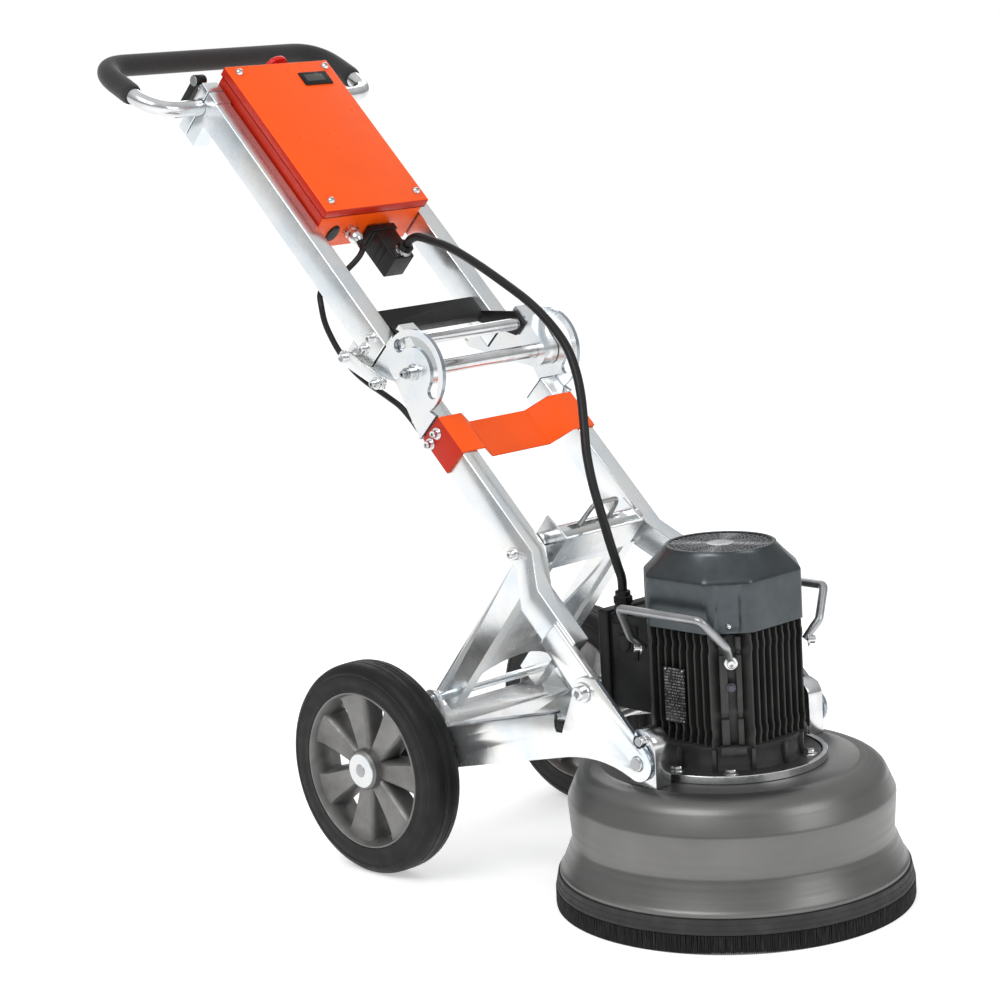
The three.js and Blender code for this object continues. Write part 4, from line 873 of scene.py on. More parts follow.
class GRINDER_OT_skirt(bpy.types.Operator):
    """Rubber band and the brush of bristle tufts under it"""
    bl_idname = "grinder.skirt"
    bl_label = "Skirt"

    def execute(self, context):
        sizes = context.scene.grinder_sizes
        profile = [(232.5, 26.3), (248, 26.3), (248.4, 27.3), (247.6, 31), (246.9, 31.6), (246.9, 32.4), (247.2, 33),
                   (246, 38.6), (245.3, 39.2), (245.3, 40), (245.5, 40.6), (244.5, 46.3), (232.5, 46.3)]
        finished("skirt_band_ring", lathe(bmesh.new(), profile, 144, closed=True), MACHINE, "band", "head",
                 ("skirt_band",), angle=35)
        # the brush's core ring, black like the bristles and darker still as painted shade among them
        backing = [(237.5, 3.5), (246, 3.5), (245.2, 26.2), (237.5, 26.2)]
        finished("skirt_brush_backing", lathe(bmesh.new(), backing, 96, closed=True), MACHINE, "dark", "head",
                 ("skirt_brush",), angle=35)
        tuft = helper("tuft", lathe(bmesh.new(), [(0, 0.0004), (0.0008, 0.0003), (0.0014, 0.004), (0.0011, 0.0255),
                                                  (0, 0.0256)], 6))
        for row, (radius, seed) in enumerate(((0.2478, 4), (0.2463, 9), (0.2368, 15))):
            mesh = grown(f"bristles_{row + 1}", bristle_tree(), {
                "Tuft": tuft, "Count": sizes.tufts, "Radius": radius, "Lean": 0.045, "Seed": seed,
                "Material": FINISH["bristle"]})
            mesh.transform(Matrix.Translation((HEAD_X, 0, 0)))
            dressed(f"bristles_{row + 1}", mesh, "bristle", "head", angle=60)
        bpy.data.objects.remove(tuft)
        return {"FINISHED"}


class GRINDER_OT_lugs(bpy.types.Operator):
    """Machined tilt lugs with their pins and snap rings"""
    bl_idname = "grinder.lugs"
    bl_label = "Tilt lugs"

    def execute(self, context):
        edge = context.scene.grinder_sizes.edge
        for side, hand in TWO_SIDES:
            softened(f"tilt_lug_{side}", "bright", edge)
            out = Vector((0, hand, 0))
            bm = bmesh.new()
            for x, z, r, face in ((4, 262, 6.5, 186.0), (0, 231, 10, 188.8)):
                place = facing(Vector((x, hand * face, z)), out)
                lathe(bm, [(0, 0.1), (r * 0.8, 0.1), (r * 0.86, 0.9), (0, 0.9)], 24, place=place)
            finished(f"pin_ends_{side}", bm, MACHINE, "satin", "head", angle=30)
        return {"FINISHED"}


# ------------------------------------------------------------------ motor
def octagon_reach(a, half, corner_reach, sharp=110):
    """Distance to an octagon's rounded outline in direction a"""
    total = 0.0
    for k in range(8):
        c = math.cos(a - k * math.pi / 4)
        if c > 0:
            total += (c / (half if k % 2 == 0 else corner_reach)) ** sharp
    return total ** (-1 / sharp)


def octagon_rings(bm, rows, segments=192):
    """Rings of (share of the octagon, half, corner reach, circle radius, z), joined in order and closed"""
    grid = []
    for share, half, corner, radius, z in rows:
        row = []
        for i in range(segments):
            a = 2 * math.pi * i / segments
            r = octagon_reach(a, half, corner) * share + radius * (1 - share)
            row.append(bm.verts.new((r * math.cos(a), r * math.sin(a), z)))
        grid.append(row)
    skinned(bm, grid + grid[:1])
    return grid


class GRINDER_OT_motor(bpy.types.Operator):
    """Finned motor casting with its corner pads, bell, feet and rating plate"""
    bl_idname = "grinder.motor"
    bl_label = "Motor body"

    def execute(self, context):
        sizes = context.scene.grinder_sizes
        bm = bmesh.new()
        core = (1, 77, 89.8, 0)
        inner = (0, 77, 89.8, 55)
        octagon_rings(bm, [(*core, 240), (*core, 395.9), (*inner, 395.9), (*inner, 242), (*inner, 240)])
        bell = [(16, 199), (126.2, 199), (127, 199.8), (127, 204.2), (126.2, 205), (103, 205), (100, 206.5),
                (98.5, 212), (97.5, 228), (99.5, 233), (100.5, 238.6), (96, 240.4), (16, 240.4)]
        lathe(bm, bell, 96, closed=True)
        for i in range(12):
            a = 2 * math.pi * i / 12
            rounded_box(bm, (94, -3.2, 204), (104, 3.2, 236), place=Matrix.Rotation(a, 4, "Z"), radius=1.4)
        for i in range(4):
            turn = Matrix.Rotation(math.radians(45 + 90 * i), 4, "Z")
            for y0, y1 in ((-15, -4), (7, 15)):
                for low, high in ((242, 278), (285, 366), (373, 391)):
                    rounded_box(bm, (86, y0, low), (102.6, y1, high), place=turn, radius=1.8)
                rounded_box(bm, (86, y0 + 2, 242), (96, y1 - 2, 390), place=turn, radius=1)
            rounded_box(bm, (84, -16, 241), (92, 16, 392), place=turn, radius=1.5)
            rounded_box(bm, (80, -18, 228), (108, 18, 241), place=turn, radius=3)
        finished("motor_casting", bm, MACHINE, "motor", "head", ("motor_body",), angle=34)

        fin_bm = bmesh.new()
        levels = [(238.6, 0, 0.7), (241, 0, 1), (250, 0, 1), (255, 1.6, 1), (262, 1.6, 1), (267, 0, 1), (368, 0, 1),
                  (373, 1.6, 1), (380, 1.6, 1), (385, 0, 1), (393, 0, 1), (395.6, 0, 0.7)]
        rows = []
        for z, shift, fill in levels:
            tip = 88 + 5 * fill
            outline = [(75, -2.3), (tip - 1.2, -1.3), (tip, -0.6), (tip, 0.6), (tip - 1.2, 1.3), (75, 2.3)]
            rows.append([fin_bm.verts.new((x * MM, (y + shift) * MM, z * MM)) for x, y in outline])
        skinned(fin_bm, rows)
        fin_bm.faces.new(rows[0])
        fin_bm.faces.new(rows[-1])
        fin = helper("fin", fin_bm)
        mesh = grown("cooling_fins", fins_tree(), {
            "Fin": fin, "Count": sizes.fins, "Pitch": 104.6 * MM / (sizes.fins - 1), "Material": FINISH["motor"]})
        bpy.data.objects.remove(fin)
        mesh.transform(Matrix.Translation((HEAD_X, 0, 0)))
        dressed("cooling_fins", mesh, "motor", "head", angle=25)

        bm = rounded_box(bmesh.new(), (-27, -96.2, 267), (9, -93.4, 343), radius=0.7)
        finished("rating_plate", bm, MACHINE, "plate", "head", angle=30)
        corners = [(on_machine(x, -96.1, z), (0, -1, 0)) for x in (-24, 6) for z in (270, 340)]
        fasteners("rating_plate_rivets", "rivet", 1.6 * MM, corners, "head")
        diagonal = Vector((1, -1, 0)).normalized()
        spots = [(on_machine(*(diagonal * 102.7 + Vector((0, 0, 322)))), diagonal)]
        fasteners("casting_bolt", "hex", 4.6 * MM, spots, "head", "blued")
        return {"FINISHED"}


class GRINDER_OT_fan_cover(bpy.types.Operator):
    """Pressed fan cover, its wire grille and its screws"""
    bl_idname = "grinder.fan_cover"
    bl_label = "Fan cover"

    def execute(self, context):
        sizes = context.scene.grinder_sizes
        half, corner = 97, 105.36
        rows = [(1, half, corner, 0, z) for z in (396.4, 399, 405, 430, 455, 462)]
        rows += [(1, half - 0.3, corner - 0.3, 0, 464.6), (1, half - 1.4, corner - 1.4, 0, 467)]
        for share, z in ((0.86, 471), (0.6, 479), (0.34, 487), (0.1, 495)):
            rows.append((share, half - 1, corner - 1, 76, z))
        rows += [(0, half, corner, 76.4, 498), (0, half, corner, 75.6, 500.2), (0, half, corner, 74.2, 501),
                 (0, half, corner, 71.2, 501), (0, half, corner, 70.2, 500), (0, half, corner, 70, 493),
                 (0.6, half - 4, corner - 4, 74, 478), (1, half - 3.6, corner - 3.6, 0, 464),
                 (1, half - 3, corner - 3, 0, 396.4)]
        bm = bmesh.new()
        grid = octagon_rings(bm, rows)
        for row in grid[1:6]:
            for vertex in row:
                a = math.atan2(vertex.co.y, vertex.co.x)
                nearest = round((a - math.pi / 4) / (math.pi / 2)) * math.pi / 2 + math.pi / 4
                across = vertex.co.to_2d().length * math.sin(a - nearest)
                if abs(across) < 15 and 399.5 < vertex.co.z < 459:
                    way = Vector((math.cos(nearest), math.sin(nearest)))
                    vertex.co.x -= 3.2 * way.x
                    vertex.co.y -= 3.2 * way.y
        finished("fan_cover_shell", bm, MACHINE, "cover", "head", ("fan_cover",), angle=28)
        mesh = grown("fan_grille", grille_tree(), {
            "Rings": sizes.grille_rings, "Wires": sizes.grille_wires, "Hub": 19 * MM, "Rim": 71 * MM,
            "Wire Radius": 0.85 * MM, "Material": FINISH["wire"]})
        mesh.transform(Matrix.Translation((HEAD_X, 0, 0.4988)))
        dressed("fan_grille", mesh, "wire", "head", angle=40)
        disc = [(0, 500.6), (3, 500.6), (3.4, 500.0), (16, 500.2), (19.2, 499.8), (19.8, 498.4), (0, 498.2)]
        finished("grille_disc", lathe(bmesh.new(), disc, 48), MACHINE, "satin", "head", angle=30)
        spots = []
        for i in range(4):
            a = math.radians(45 + 90 * i)
            way = Vector((math.cos(a), math.sin(a), 0))
            spots.append((on_machine(*(way * 102.2 + Vector((0, 0, 406)))), way))
        fasteners("fan_cover_screws", "dome", sizes.dome_head, spots, "head")
        return {"FINISHED"}


class GRINDER_OT_terminal_box(bpy.types.Operator):
    """Terminal box with its lid, blanking plug, gland and screws"""
    bl_idname = "grinder.terminal_box"
    bl_label = "Terminal box"

    def execute(self, context):
        sizes = context.scene.grinder_sizes
        softened("terminal_box", "black", sizes.cast_edge, steps=3)
        softened("terminal_lid", "black", sizes.cast_edge * 2, steps=4)
        bm = bmesh.new()
        plug = [(0, 5.0), (2.5, 5.0), (3, 5.8), (10.5, 5.8), (12.4, 4.8), (13, 3), (15.5, 2.6), (16, 0), (0, 0)]
        lathe(bm, plug, 36, place=facing(Vector((-140, -49, 352)), (0, -1, 0)))
        for side in (-1, 1):
            rounded_box(bm, (-163, side * 48.4, 328), (-116, side * 50.6, 378), radius=0.9)
        gland = Matrix.Translation(CABLE_GLAND)
        for low, high, r, sides in ((390, 401, 13.4, (6,)), (401, 404, 12, ()), (404, 415, 12.6, ()),
                                    (415, 419.4, 10.2, ())):
            lathe(bm, [(0, low), (r, low, *sides), (r, high - 1.2, *sides), (r - 1.2, high), (0, high)], 36,
                  place=gland)
        for i in range(18):
            turn = Matrix.Rotation(2 * math.pi * i / 18, 4, "Z")
            rounded_box(bm, (-0.8, 11.8, 404.6), (0.8, 13.4, 414), radius=0.4, place=gland @ turn)
        lathe(bm, [(7, 418), (9.4, 418), (8.6, 421), (7.6, 422.2), (6.9, 422.2)], 24, closed=True, place=gland)
        finished("terminal_fittings", bm, MACHINE, "black", "head", angle=34)
        spots = [(on_machine(-190.2, y, z), (-1, 0, 0)) for y in (-43, 43) for z in (261, 385)]
        fasteners("terminal_lid_screws", "dome", sizes.dome_head, spots, "head", "blued")
        return {"FINISHED"}


class GRINDER_OT_lift_handles(bpy.types.Operator):
    """Bent lifting bars with flattened, bolted ends"""
    bl_idname = "grinder.lift_handles"
    bl_label = "Lift handles"

    def execute(self, context):
        bolt = 77.5
        corners = [(bolt, -bolt, 359), (bolt + 10, -bolt - 20, 384), (bolt - 5, -129, 424), (5 - bolt, -129, 424),
                   (-bolt - 6, -bolt - 20, 377), (-bolt, -bolt, 359)]
        line = resampled(bent_path(corners, 9), 90)
        for side, hand in TWO_SIDES:
            place = MACHINE if hand < 0 else MACHINE @ MIRROR_Y
            radii = [6 - 1.2 * max(0, 1 - k / 6) - 1.2 * max(0, 1 - (90 - k) / 6) for k in range(91)]
            bm = tube(bmesh.new(), line, 6, sides=18, radii=radii)
            finished(f"lift_bar_{side}", bm, place, "satin", "head",
                     (f"lift_handle_{side}",), angle=50)
            spots = []
            for x in (1, -1):
                way = Vector((x, hand, 0)).normalized()
                spots.append((on_machine(*(way * 114.2 + Vector((0, 0, 358)))), way))
            fasteners(f"lift_bar_bolts_{side}", "socket", context.scene.grinder_sizes.socket_head, spots, "head")
        return {"FINISHED"}


# ------------------------------------------------------------------ chassis and wheels
def upright(face):
    return 1 if abs(face.normal.y) < 0.5 else 0


class GRINDER_OT_chassis(bpy.types.Operator):
    """Side rails, beam, tie bar, axle and the ear bolts"""
    bl_idname = "grinder.chassis"
    bl_label = "Chassis"

    def execute(self, context):
        sizes = context.scene.grinder_sizes
        softened("rear_beam", "zinc", sizes.edge)
        for side, hand in TWO_SIDES:
            softened(f"side_rail_{side}", "zinc", sizes.edge, finishes=("zinc_edge",), choose=upright)
            bm = rounded_box(bmesh.new(), (-151, hand * 176.4, 254), (-136, hand * 184.6, 269), radius=0.8)
            rounded_box(bm, (-149, hand * 170, 256), (-138, hand * 178, 266), radius=0.5)
            finished(f"stop_block_{side}", bm, MACHINE, "black", "chassis", angle=30)
            out = Vector((0, hand, 0))
            place = facing(Vector((-94.5, 0, 316)), out)
            bm = lathe(bmesh.new(), [(0, 164.5), (7, 164.5), (8, 165.5), (8, 186.3), (14, 186.3), (14.4, 187),
                                     (13.6, 189), (9.6, 189.1), (9.8, 196.6), (8.8, 198), (5.4, 198), (5.2, 197.4, 6),
                                     (5.0, 192.5, 6), (0, 192)], 36, place=place)
            finished(f"ear_bolt_piece_{side}", bm, MACHINE, "bright", "chassis",
                     (f"ear_bolt_{side}",), angle=35)
        bm = lathe(bmesh.new(), [(0, -177.7), (13, -177.7), (14, -176.5), (14, 176.5), (13, 177.7), (0, 177.7)], 48,
                   place=facing(Vector((-222, 0, 230)), Vector((0, 1, 0))))
        finished("tie_bar_piece", bm, MACHINE, "zinc", "chassis", ("tie_bar",), angle=35)
        bm = lathe(bmesh.new(), [(0, -251), (8.8, -251), (10, -249.8), (10, 249.8), (8.8, 251), (0, 251)], 40,
                   place=facing(Vector((AXLE_X, 0, AXLE_Z)), Vector((0, 1, 0))))
        finished("axle_piece", bm, MACHINE, "satin", "chassis", ("axle",), angle=35)
        return {"FINISHED"}


TYRE_HALF = (
    (116.3, -28.6), (118.5, -29), (122, -28), (128, -28.4), (139, -29), (141, -28.2), (143, -28.9), (147, -27.6),
    (151.6, -24.4), (154.6, -20.2), (156.0, -15.6), (156.4, -9.4), (155.4, -8.6), (155.4, -7.6), (156.5, -6.8),
    (156.5, -0.6),
)
TYRE_PROFILE = (*TYRE_HALF, (156.1, 0), *((r, -z) for r, z in reversed(TYRE_HALF)))
RIM_PROFILE = (
    (109.8, -20), (112.4, -28.2), (113.2, -29), (115.0, -29), (116, -27.6), (115.2, -24), (114.6, -20),
    (114.6, 20), (115.2, 24), (116, 27.6), (115.0, 29), (113.2, 29), (112.4, 28.2), (109.8, 20),
    (106, 12), (106, -12),
)


class GRINDER_OT_wheels(bpy.types.Operator):
    """Tyres with their mould lines, cast centres with spokes, and hub caps"""
    bl_idname = "grinder.wheels"
    bl_label = "Wheels"

    def execute(self, context):
        sizes = context.scene.grinder_sizes
        for side, hand in TWO_SIDES:
            place = MACHINE @ facing(Vector((AXLE_X, hand * WHEEL_Y, AXLE_Z)), Vector((0, hand, 0)))
            bm = lathe(bmesh.new(), TYRE_PROFILE, 128, closed=True)
            finished(f"tyre_ring_{side}", bm, place, "tyre", f"wheel_{side}", (f"tyre_{side}",), angle=38)
            bm = lathe(bmesh.new(), RIM_PROFILE, 96, closed=True)
            hub = [(10.4, -28.4), (28, -28.4), (30, -26.8), (30.6, -8), (33, -4), (33, 6), (30.6, 10), (29.4, 25.6),
                   (27, 28.6), (10.4, 28.6)]
            lathe(bm, hub, 48, closed=True)
            finished(f"wheel_rim_{side}", bm, place, "cast", f"wheel_{side}",
                     (f"wheel_centre_{side}",), angle=32)
            spoke = bmesh.new()
            sections = [(26, 12.5, 16, 16), (32, 12.6, 16, 17), (50, 15, 15, 16.5), (74, 18.6, 15, 16),
                        (94, 22, 16, 17), (104, 25, 18, 18), (110.6, 30, 20, 20.5)]
            rows = []
            for r, w, low, high in sections:
                outline = [(-w - 4, -low), (w + 4, -low), (w + 2.6, high - 9), (w, high - 2.6), (w - 2.6, high),
                           (-w + 2.6, high), (-w, high - 2.6), (-w - 2.6, high - 9)]
                rows.append([spoke.verts.new((r, y, z)) for y, z in outline])
            skinned(spoke, rows)
            spoke.faces.new(rows[0])
            spoke.faces.new(rows[-1])
            shape = helper("spoke", spoke)
            mesh = grown(f"spokes_{side}", around_tree(), {
                "Shape": shape, "Count": sizes.spokes, "Material": FINISH["cast"]})
            bpy.data.objects.remove(shape)
            mesh.transform(place)
            dressed(f"spokes_{side}", mesh, "cast", f"wheel_{side}", angle=26)
            cap = [(0, 28.6), (2.2, 28.6, 6), (2.3, 30.4, 6), (3.4, 30.6), (4, 30.1), (24, 30.1), (25.4, 29.2),
                   (25.6, 26), (0, 26)]
            finished(f"hub_cap_{side}", lathe(bmesh.new(), cap, 48), place, "hub", f"wheel_{side}",
                     angle=28)
        return {"FINISHED"}


# ------------------------------------------------------------------ lower frame and strut
# faces turned along Y take the darker orange: painted shade on the sides
def side_faces(face):
    return 1 if abs(face.normal.y) > 0.6 else 0


# flanges turned along Y take the darker orange: painted shade on the flanges
def flange_faces(face):
    return 1 if abs(face.normal.y) > 0.9 else 0


class GRINDER_OT_lower_frame(bpy.types.Operator):
    """Lower arms, orange cross sheet, fold plates and the fold shaft"""
    bl_idname = "grinder.lower_frame"
    bl_label = "Lower frame"

    def execute(self, context):
        sizes = context.scene.grinder_sizes
        # the side flanges of the cross sheet take the darker orange as painted shade
        softened("crosspiece", "orange", sizes.cast_edge, steps=3,
                 finishes=("shaded_orange",), choose=flange_faces, angle=20)
        softened("fold_shaft", "bright", 0.0)
        for side, hand in TWO_SIDES:
            softened(f"lower_arm_{side}", "zinc", sizes.cast_edge * 1.6, steps=3, angle=50)
            softened(f"fold_plate_{side}", "zinc", 0.0, finishes=("zinc_edge",),
                     choose=upright, angle=30)
            fasteners(f"arm_bolt_{side}", "socket", 5.6 * MM, [(on_machine(-268, hand * 133, 480), (0, hand, 0))],
                      "lower_frame")
            spots = [(on_frame(s, hand * 136.6, n), (0, hand, 0)) for s, n in ((-741, 166), (-740, 144))]
            fasteners(f"cross_sheet_screws_{side}", "socket", sizes.socket_head, spots, "lower_frame")
            spots = [(on_frame(-829.4, hand * 154, 200), (0, hand, 0))]
            fasteners(f"fold_bolt_head_{side}", "socket", 5.0 * MM, spots, "lower_frame", "satin")
            plug = rounded_box(bmesh.new(), (-793.2, hand * 131.6, 135.6), (-791.4, hand * 104.4, 180.4), radius=0.6)
            finished(f"lower_tube_cap_{side}", plug, HANDLE_FRAME, "black", "lower_frame", angle=30)
        return {"FINISHED"}


class GRINDER_OT_strut(bpy.types.Operator):
    """Prop strut with its latch housing, sprung pins and wire pull"""
    bl_idname = "grinder.strut"
    bl_label = "Strut and latch"

    def execute(self, context):
        softened("strut", "zinc", 0.0, angle=30)
        softened("latch_channel", "zinc", 0.0, angle=30)
        foot, tall = STRUT_LENGTH + 17, STRUT_LENGTH + 58
        line = resampled(bent_path([(foot, -30, 0), (tall, -24, 0), (tall, 24, 0), (foot, 30, 0)], 14), 60)
        finished("latch_wire", tube(bmesh.new(), line, 3.5, 14), STRUT_FRAME, "satin", "latch_pull",
                 ("latch_handle",), angle=50)
        for side, hand in TWO_SIDES:
            place = facing(Vector((STRUT_LENGTH, 0, 0)), Vector((0, hand, 0)))
            pin = [(0, 44), (11.2, 44), (12, 45), (12, 101), (10.6, 102.5), (0, 102.5)]
            finished(f"latch_pin_piece_{side}", lathe(bmesh.new(), pin, 36, place=place), STRUT_FRAME, "bright",
                     f"latch_pin_{side}", (f"latch_pin_{side}",), angle=35)
            spots = [(STRUT_FRAME @ Vector((284, hand * 99, 0)), (0, hand, 0))]
            fasteners(f"strut_bolts_{side}", "socket", 4.4 * MM, spots, "strut")
        return {"FINISHED"}


# ------------------------------------------------------------------ upper frame
LOCK_BAR = HANDLE_FRAME @ Vector((-879, 0, 207))


def round_bar(face):
    """The round lock bar is bare steel, and the bent sheet that draws it is black"""
    reach = max(math.hypot(v.co.x - LOCK_BAR.x, v.co.z - LOCK_BAR.z) for v in face.verts)
    return 1 if reach < 9.4 * MM else 0


class GRINDER_OT_upper_frame(bpy.types.Operator):
    """Upper tubes, clamps, cam levers, hinge forks, stop links and the lock bar"""
    bl_idname = "grinder.upper_frame"
    bl_label = "Upper frame"

    def execute(self, context):
        sizes = context.scene.grinder_sizes
        softened("lock_slider", "black", sizes.edge, finishes=("bright",), choose=round_bar)
        for side, hand in TWO_SIDES:
            softened(f"upper_tube_{side}", "zinc", sizes.cast_edge * 1.5, steps=3, angle=50)
            softened(f"clamp_cap_{side}", "zinc", sizes.cast_edge, steps=3)
            softened(f"hinge_fork_{side}", "zinc", 0.0, angle=30)
            softened(f"stop_link_{side}", "zinc", sizes.edge)
            softened(f"clamp_lever_{side}", "black", sizes.cast_edge, steps=3)
            way = (0, hand, 0)
            spots = [(on_frame(s, hand * 133, n), way) for s, n in ((-926, 167), (-926, 143))]
            fasteners(f"tube_screws_{side}", "socket", sizes.socket_head, spots, "upper_frame")
            spots = [(on_frame(-940, hand * 147.4, 111), way)]
            fasteners(f"link_rivet_{side}", "ring", 7.5 * MM, spots, "upper_frame")
            spots = [(on_frame(-863, hand * 154.2, 141), way)]
            fasteners(f"link_bolt_{side}", "socket", 5.6 * MM, spots, "upper_frame")
            bm = rounded_box(bmesh.new(), (-901, hand * 132.6, 133), (-897.2, hand * 103.4, 179), radius=1.2)
            finished(f"tube_foot_cap_{side}", bm, HANDLE_FRAME, "black", "upper_frame", angle=30)
            spots = [(on_frame(s, hand * 118, 89.8), frame_way(0, 0, -1)) for s in (-1408, -1431)]
            fasteners(f"clamp_nuts_{side}", "hex", 6.2 * MM, spots, "upper_frame", "blued")
            bm = lathe(bmesh.new(), [(0, -10.8), (7.6, -10.8), (8.2, -10), (8.2, 10), (7.6, 10.8), (0, 10.8)], 32,
                       place=facing(Vector((-1462, hand * 118, 166)), Vector((0, 1, 0))))
            finished(f"lever_pin_{side}", bm, HANDLE_FRAME, "satin", f"clamp_lever_{side}", angle=35)
        return {"FINISHED"}


# faces of the lid not turned up take the darker orange: painted shade on its sides
def lid_side(face):
    turned = HANDLE_FRAME.to_3x3().inverted() @ face.normal
    return 0 if turned.normalized().z > 0.6 else 1


class GRINDER_OT_control_box(bpy.types.Operator):
    """Control box with lid, screws, hour meter, stop button, gland and power plug"""
    bl_idname = "grinder.control_box"
    bl_label = "Control box"

    def execute(self, context):
        sizes = context.scene.grinder_sizes
        # side faces of the box and lid take the darker orange as painted shade
        softened("box_body", "orange", sizes.cast_edge, steps=3, finishes=("shaded_orange",),
                 choose=side_faces, angle=40)
        softened("box_lid", "orange", sizes.cast_edge * 1.5, steps=3, finishes=("shaded_orange",),
                 choose=lid_side, angle=40)
        up = frame_way(0, 0, 1)
        spots = [(on_frame(s, y, 212), up) for s in (-1427, -1153) for y in (-84, 88)]
        fasteners("lid_screws", "dome", 6.4 * MM, spots, "upper_frame")
        bm = rounded_box(bmesh.new(), (-1417, 26, 211.6), (-1390, 82, 214.6), radius=1.6)
        finished("hour_meter_bezel", bm, HANDLE_FRAME, "black", "upper_frame", angle=30)
        bm = rounded_box(bmesh.new(), (-1411, 33, 214.0), (-1397, 70, 215.0), radius=0.4)
        finished("hour_meter_display", bm, HANDLE_FRAME, "display", "upper_frame", angle=30)

        place = facing(Vector((-1439.6, 28, 183)), Vector((-1, 0, 0)))
        collar = [(12.6, 0.2), (17, 0.2), (17, 4.2), (16.2, 5), (12.6, 5)]
        finished("stop_collar", lathe(bmesh.new(), collar, 36, closed=True, place=place), HANDLE_FRAME, "black",
                 "upper_frame", angle=35)
        button = [(0, -12), (12.2, -12), (12.2, 18), (14, 19.4), (19.2, 20.4), (20, 21.6), (20, 25.4), (19.2, 27.4),
                  (16.4, 29.8), (11.5, 31.6), (5, 32.8), (0, 33)]
        finished("stop_button_piece", lathe(bmesh.new(), button, 48, place=place), HANDLE_FRAME, "stop",
                 "stop_button", ("stop_button",), angle=40)

        softened("power_plug", "black", sizes.cast_edge * 1.6, steps=4)
        bm = bmesh.new()
        for low, high, w in ((-1133, -1121, 51), (-1102, -1098, 42.5), (-1090, -1086, 42.5)):
            rounded_box(bm, (low, 28 - w / 2, 148 - w * 0.43), (high, 28 + w / 2, 148 + w * 0.43), radius=1.4)
        finished("plug_ribs", bm, HANDLE_FRAME, "black", "upper_frame", angle=34)
        outlet = facing(Vector((-1075.7, 32, 169)), Vector((0, 0, 1)))
        bm = lathe(bmesh.new(), [(9.8, 1), (12.6, 1), (13, 1.6, 6), (13, 6.6, 6), (12.2, 7.2), (9.8, 7.2)], 36,
                   closed=True, place=outlet)
        finished("plug_outlet_ring", bm, HANDLE_FRAME, "bright", "upper_frame", angle=30)
        bm = lathe(bmesh.new(), [(7, 7), (12.4, 7), (12.4, 13, 8), (11.4, 14, 8), (7.4, 15), (7, 15)], 48,
                   closed=True, place=outlet)
        finished("plug_outlet_nut", bm, HANDLE_FRAME, "black", "upper_frame", angle=30)

        place = facing(Vector((-1136, -30, 163)), Vector((1, 0, 0)))
        bm = lathe(bmesh.new(), [(4.6, -0.8), (12.2, -0.8), (12.9, 0, 6), (12.9, 6.4, 6), (12.0, 7.4), (9.6, 7.6),
                                 (9.6, 11), (11.2, 11.4, 12), (11.2, 20, 12), (9.4, 24), (7, 27.4), (4.6, 27.8)],
                   48, closed=True, place=place)
        finished("control_gland", bm, HANDLE_FRAME, "bright", "upper_frame", angle=30)
        place = facing(Vector((-1136, -62, 158)), Vector((1, 0, 0))) @ Matrix.Diagonal((1.0, 1.5, 1, 1))
        bm = lathe(bmesh.new(), [(0, 2.6), (4, 2.8), (9.8, 2.2), (11, 1), (11, -1), (0, -1)], 36, place=place)
        finished("blanking_plug", bm, HANDLE_FRAME, "black", "upper_frame", angle=30)
        return {"FINISHED"}


# where the bar lies in the handle frame, its half widths, reach, lift, bends and radii
BAR_S, BAR_N = -1421, 150
BAR_END, BAR_HALF = 105, 222
BAR_REACH, BAR_LIFT, BAR_BEND = 152, math.radians(27), 55
BAR_RADIUS, GRIP_RADIUS = 12.5, 17

class GRINDER_OT_handlebar(bpy.types.Operator):
    """Bent handlebar and its foam grip"""
    bl_idname = "grinder.handlebar"
    bl_label = "Handlebar"

    def execute(self, context):
        back = Vector((-math.cos(BAR_LIFT), 0, math.sin(BAR_LIFT))) * BAR_REACH
        x, z = (BAR_S + BAR_N) * HALF_ROOT, (BAR_N - BAR_S) * HALF_ROOT
        corners = [Vector((x, -BAR_END, z)), Vector((x, -BAR_HALF, z)), Vector((x, -BAR_HALF, z)) + back,
                   Vector((x, BAR_HALF, z)) + back, Vector((x, BAR_HALF, z)), Vector((x, BAR_END, z))]
        line = resampled(bent_path(corners, BAR_BEND, 14), 220)
        finished("handlebar_tube", tube(bmesh.new(), line, BAR_RADIUS, 28), MACHINE, "bright", "handle",
                 ("handlebar",), angle=50)
        begin = corners[1].lerp(corners[2], 0.36)
        end = corners[4].lerp(corners[3], 0.36)
        line = resampled(bent_path([begin, corners[2], corners[3], end], BAR_BEND, 14), 180)
        radii = []
        for k in range(len(line)):
            near = min(k, len(line) - 1 - k)
            radii.append(GRIP_RADIUS - (1.6 if near == 0 else 0.5 if near == 1 else 0))
        bm = tube(bmesh.new(), line, GRIP_RADIUS, 32, radii=radii)
        finished("foam_grip", bm, MACHINE, "foam", "handle", ("grip",), angle=60)
        return {"FINISHED"}


class GRINDER_OT_drive(bpy.types.Operator):
    """Turning plate, tools and rotor inside the head"""
    bl_idname = "grinder.drive"
    bl_label = "Drive and tools"

    def execute(self, context):
        edge = context.scene.grinder_sizes.edge
        softened("planet_carrier", "satin", edge, angle=40)
        softened("rotor_and_fan", "motor", edge, angle=40)
        for i in range(3):
            softened(f"tool_disc_{i + 1}", "satin", edge, angle=40)
        return {"FINISHED"}


# ------------------------------------------------------------------ stage
FLOOR_HALF = 60


def soft_light(name, place, aim, size, power):
    data = bpy.data.lights.new(name, "AREA")
    data.shape = "RECTANGLE"
    data.size, data.size_y = size
    data.energy = power
    lamp = bpy.data.objects.new(name, data)
    bpy.context.scene.collection.objects.link(lamp)
    look = (Vector(aim) - Vector(place)).to_track_quat("-Z", "Y").to_matrix().to_4x4()
    lamp.matrix_world = Matrix.Translation(place) @ look


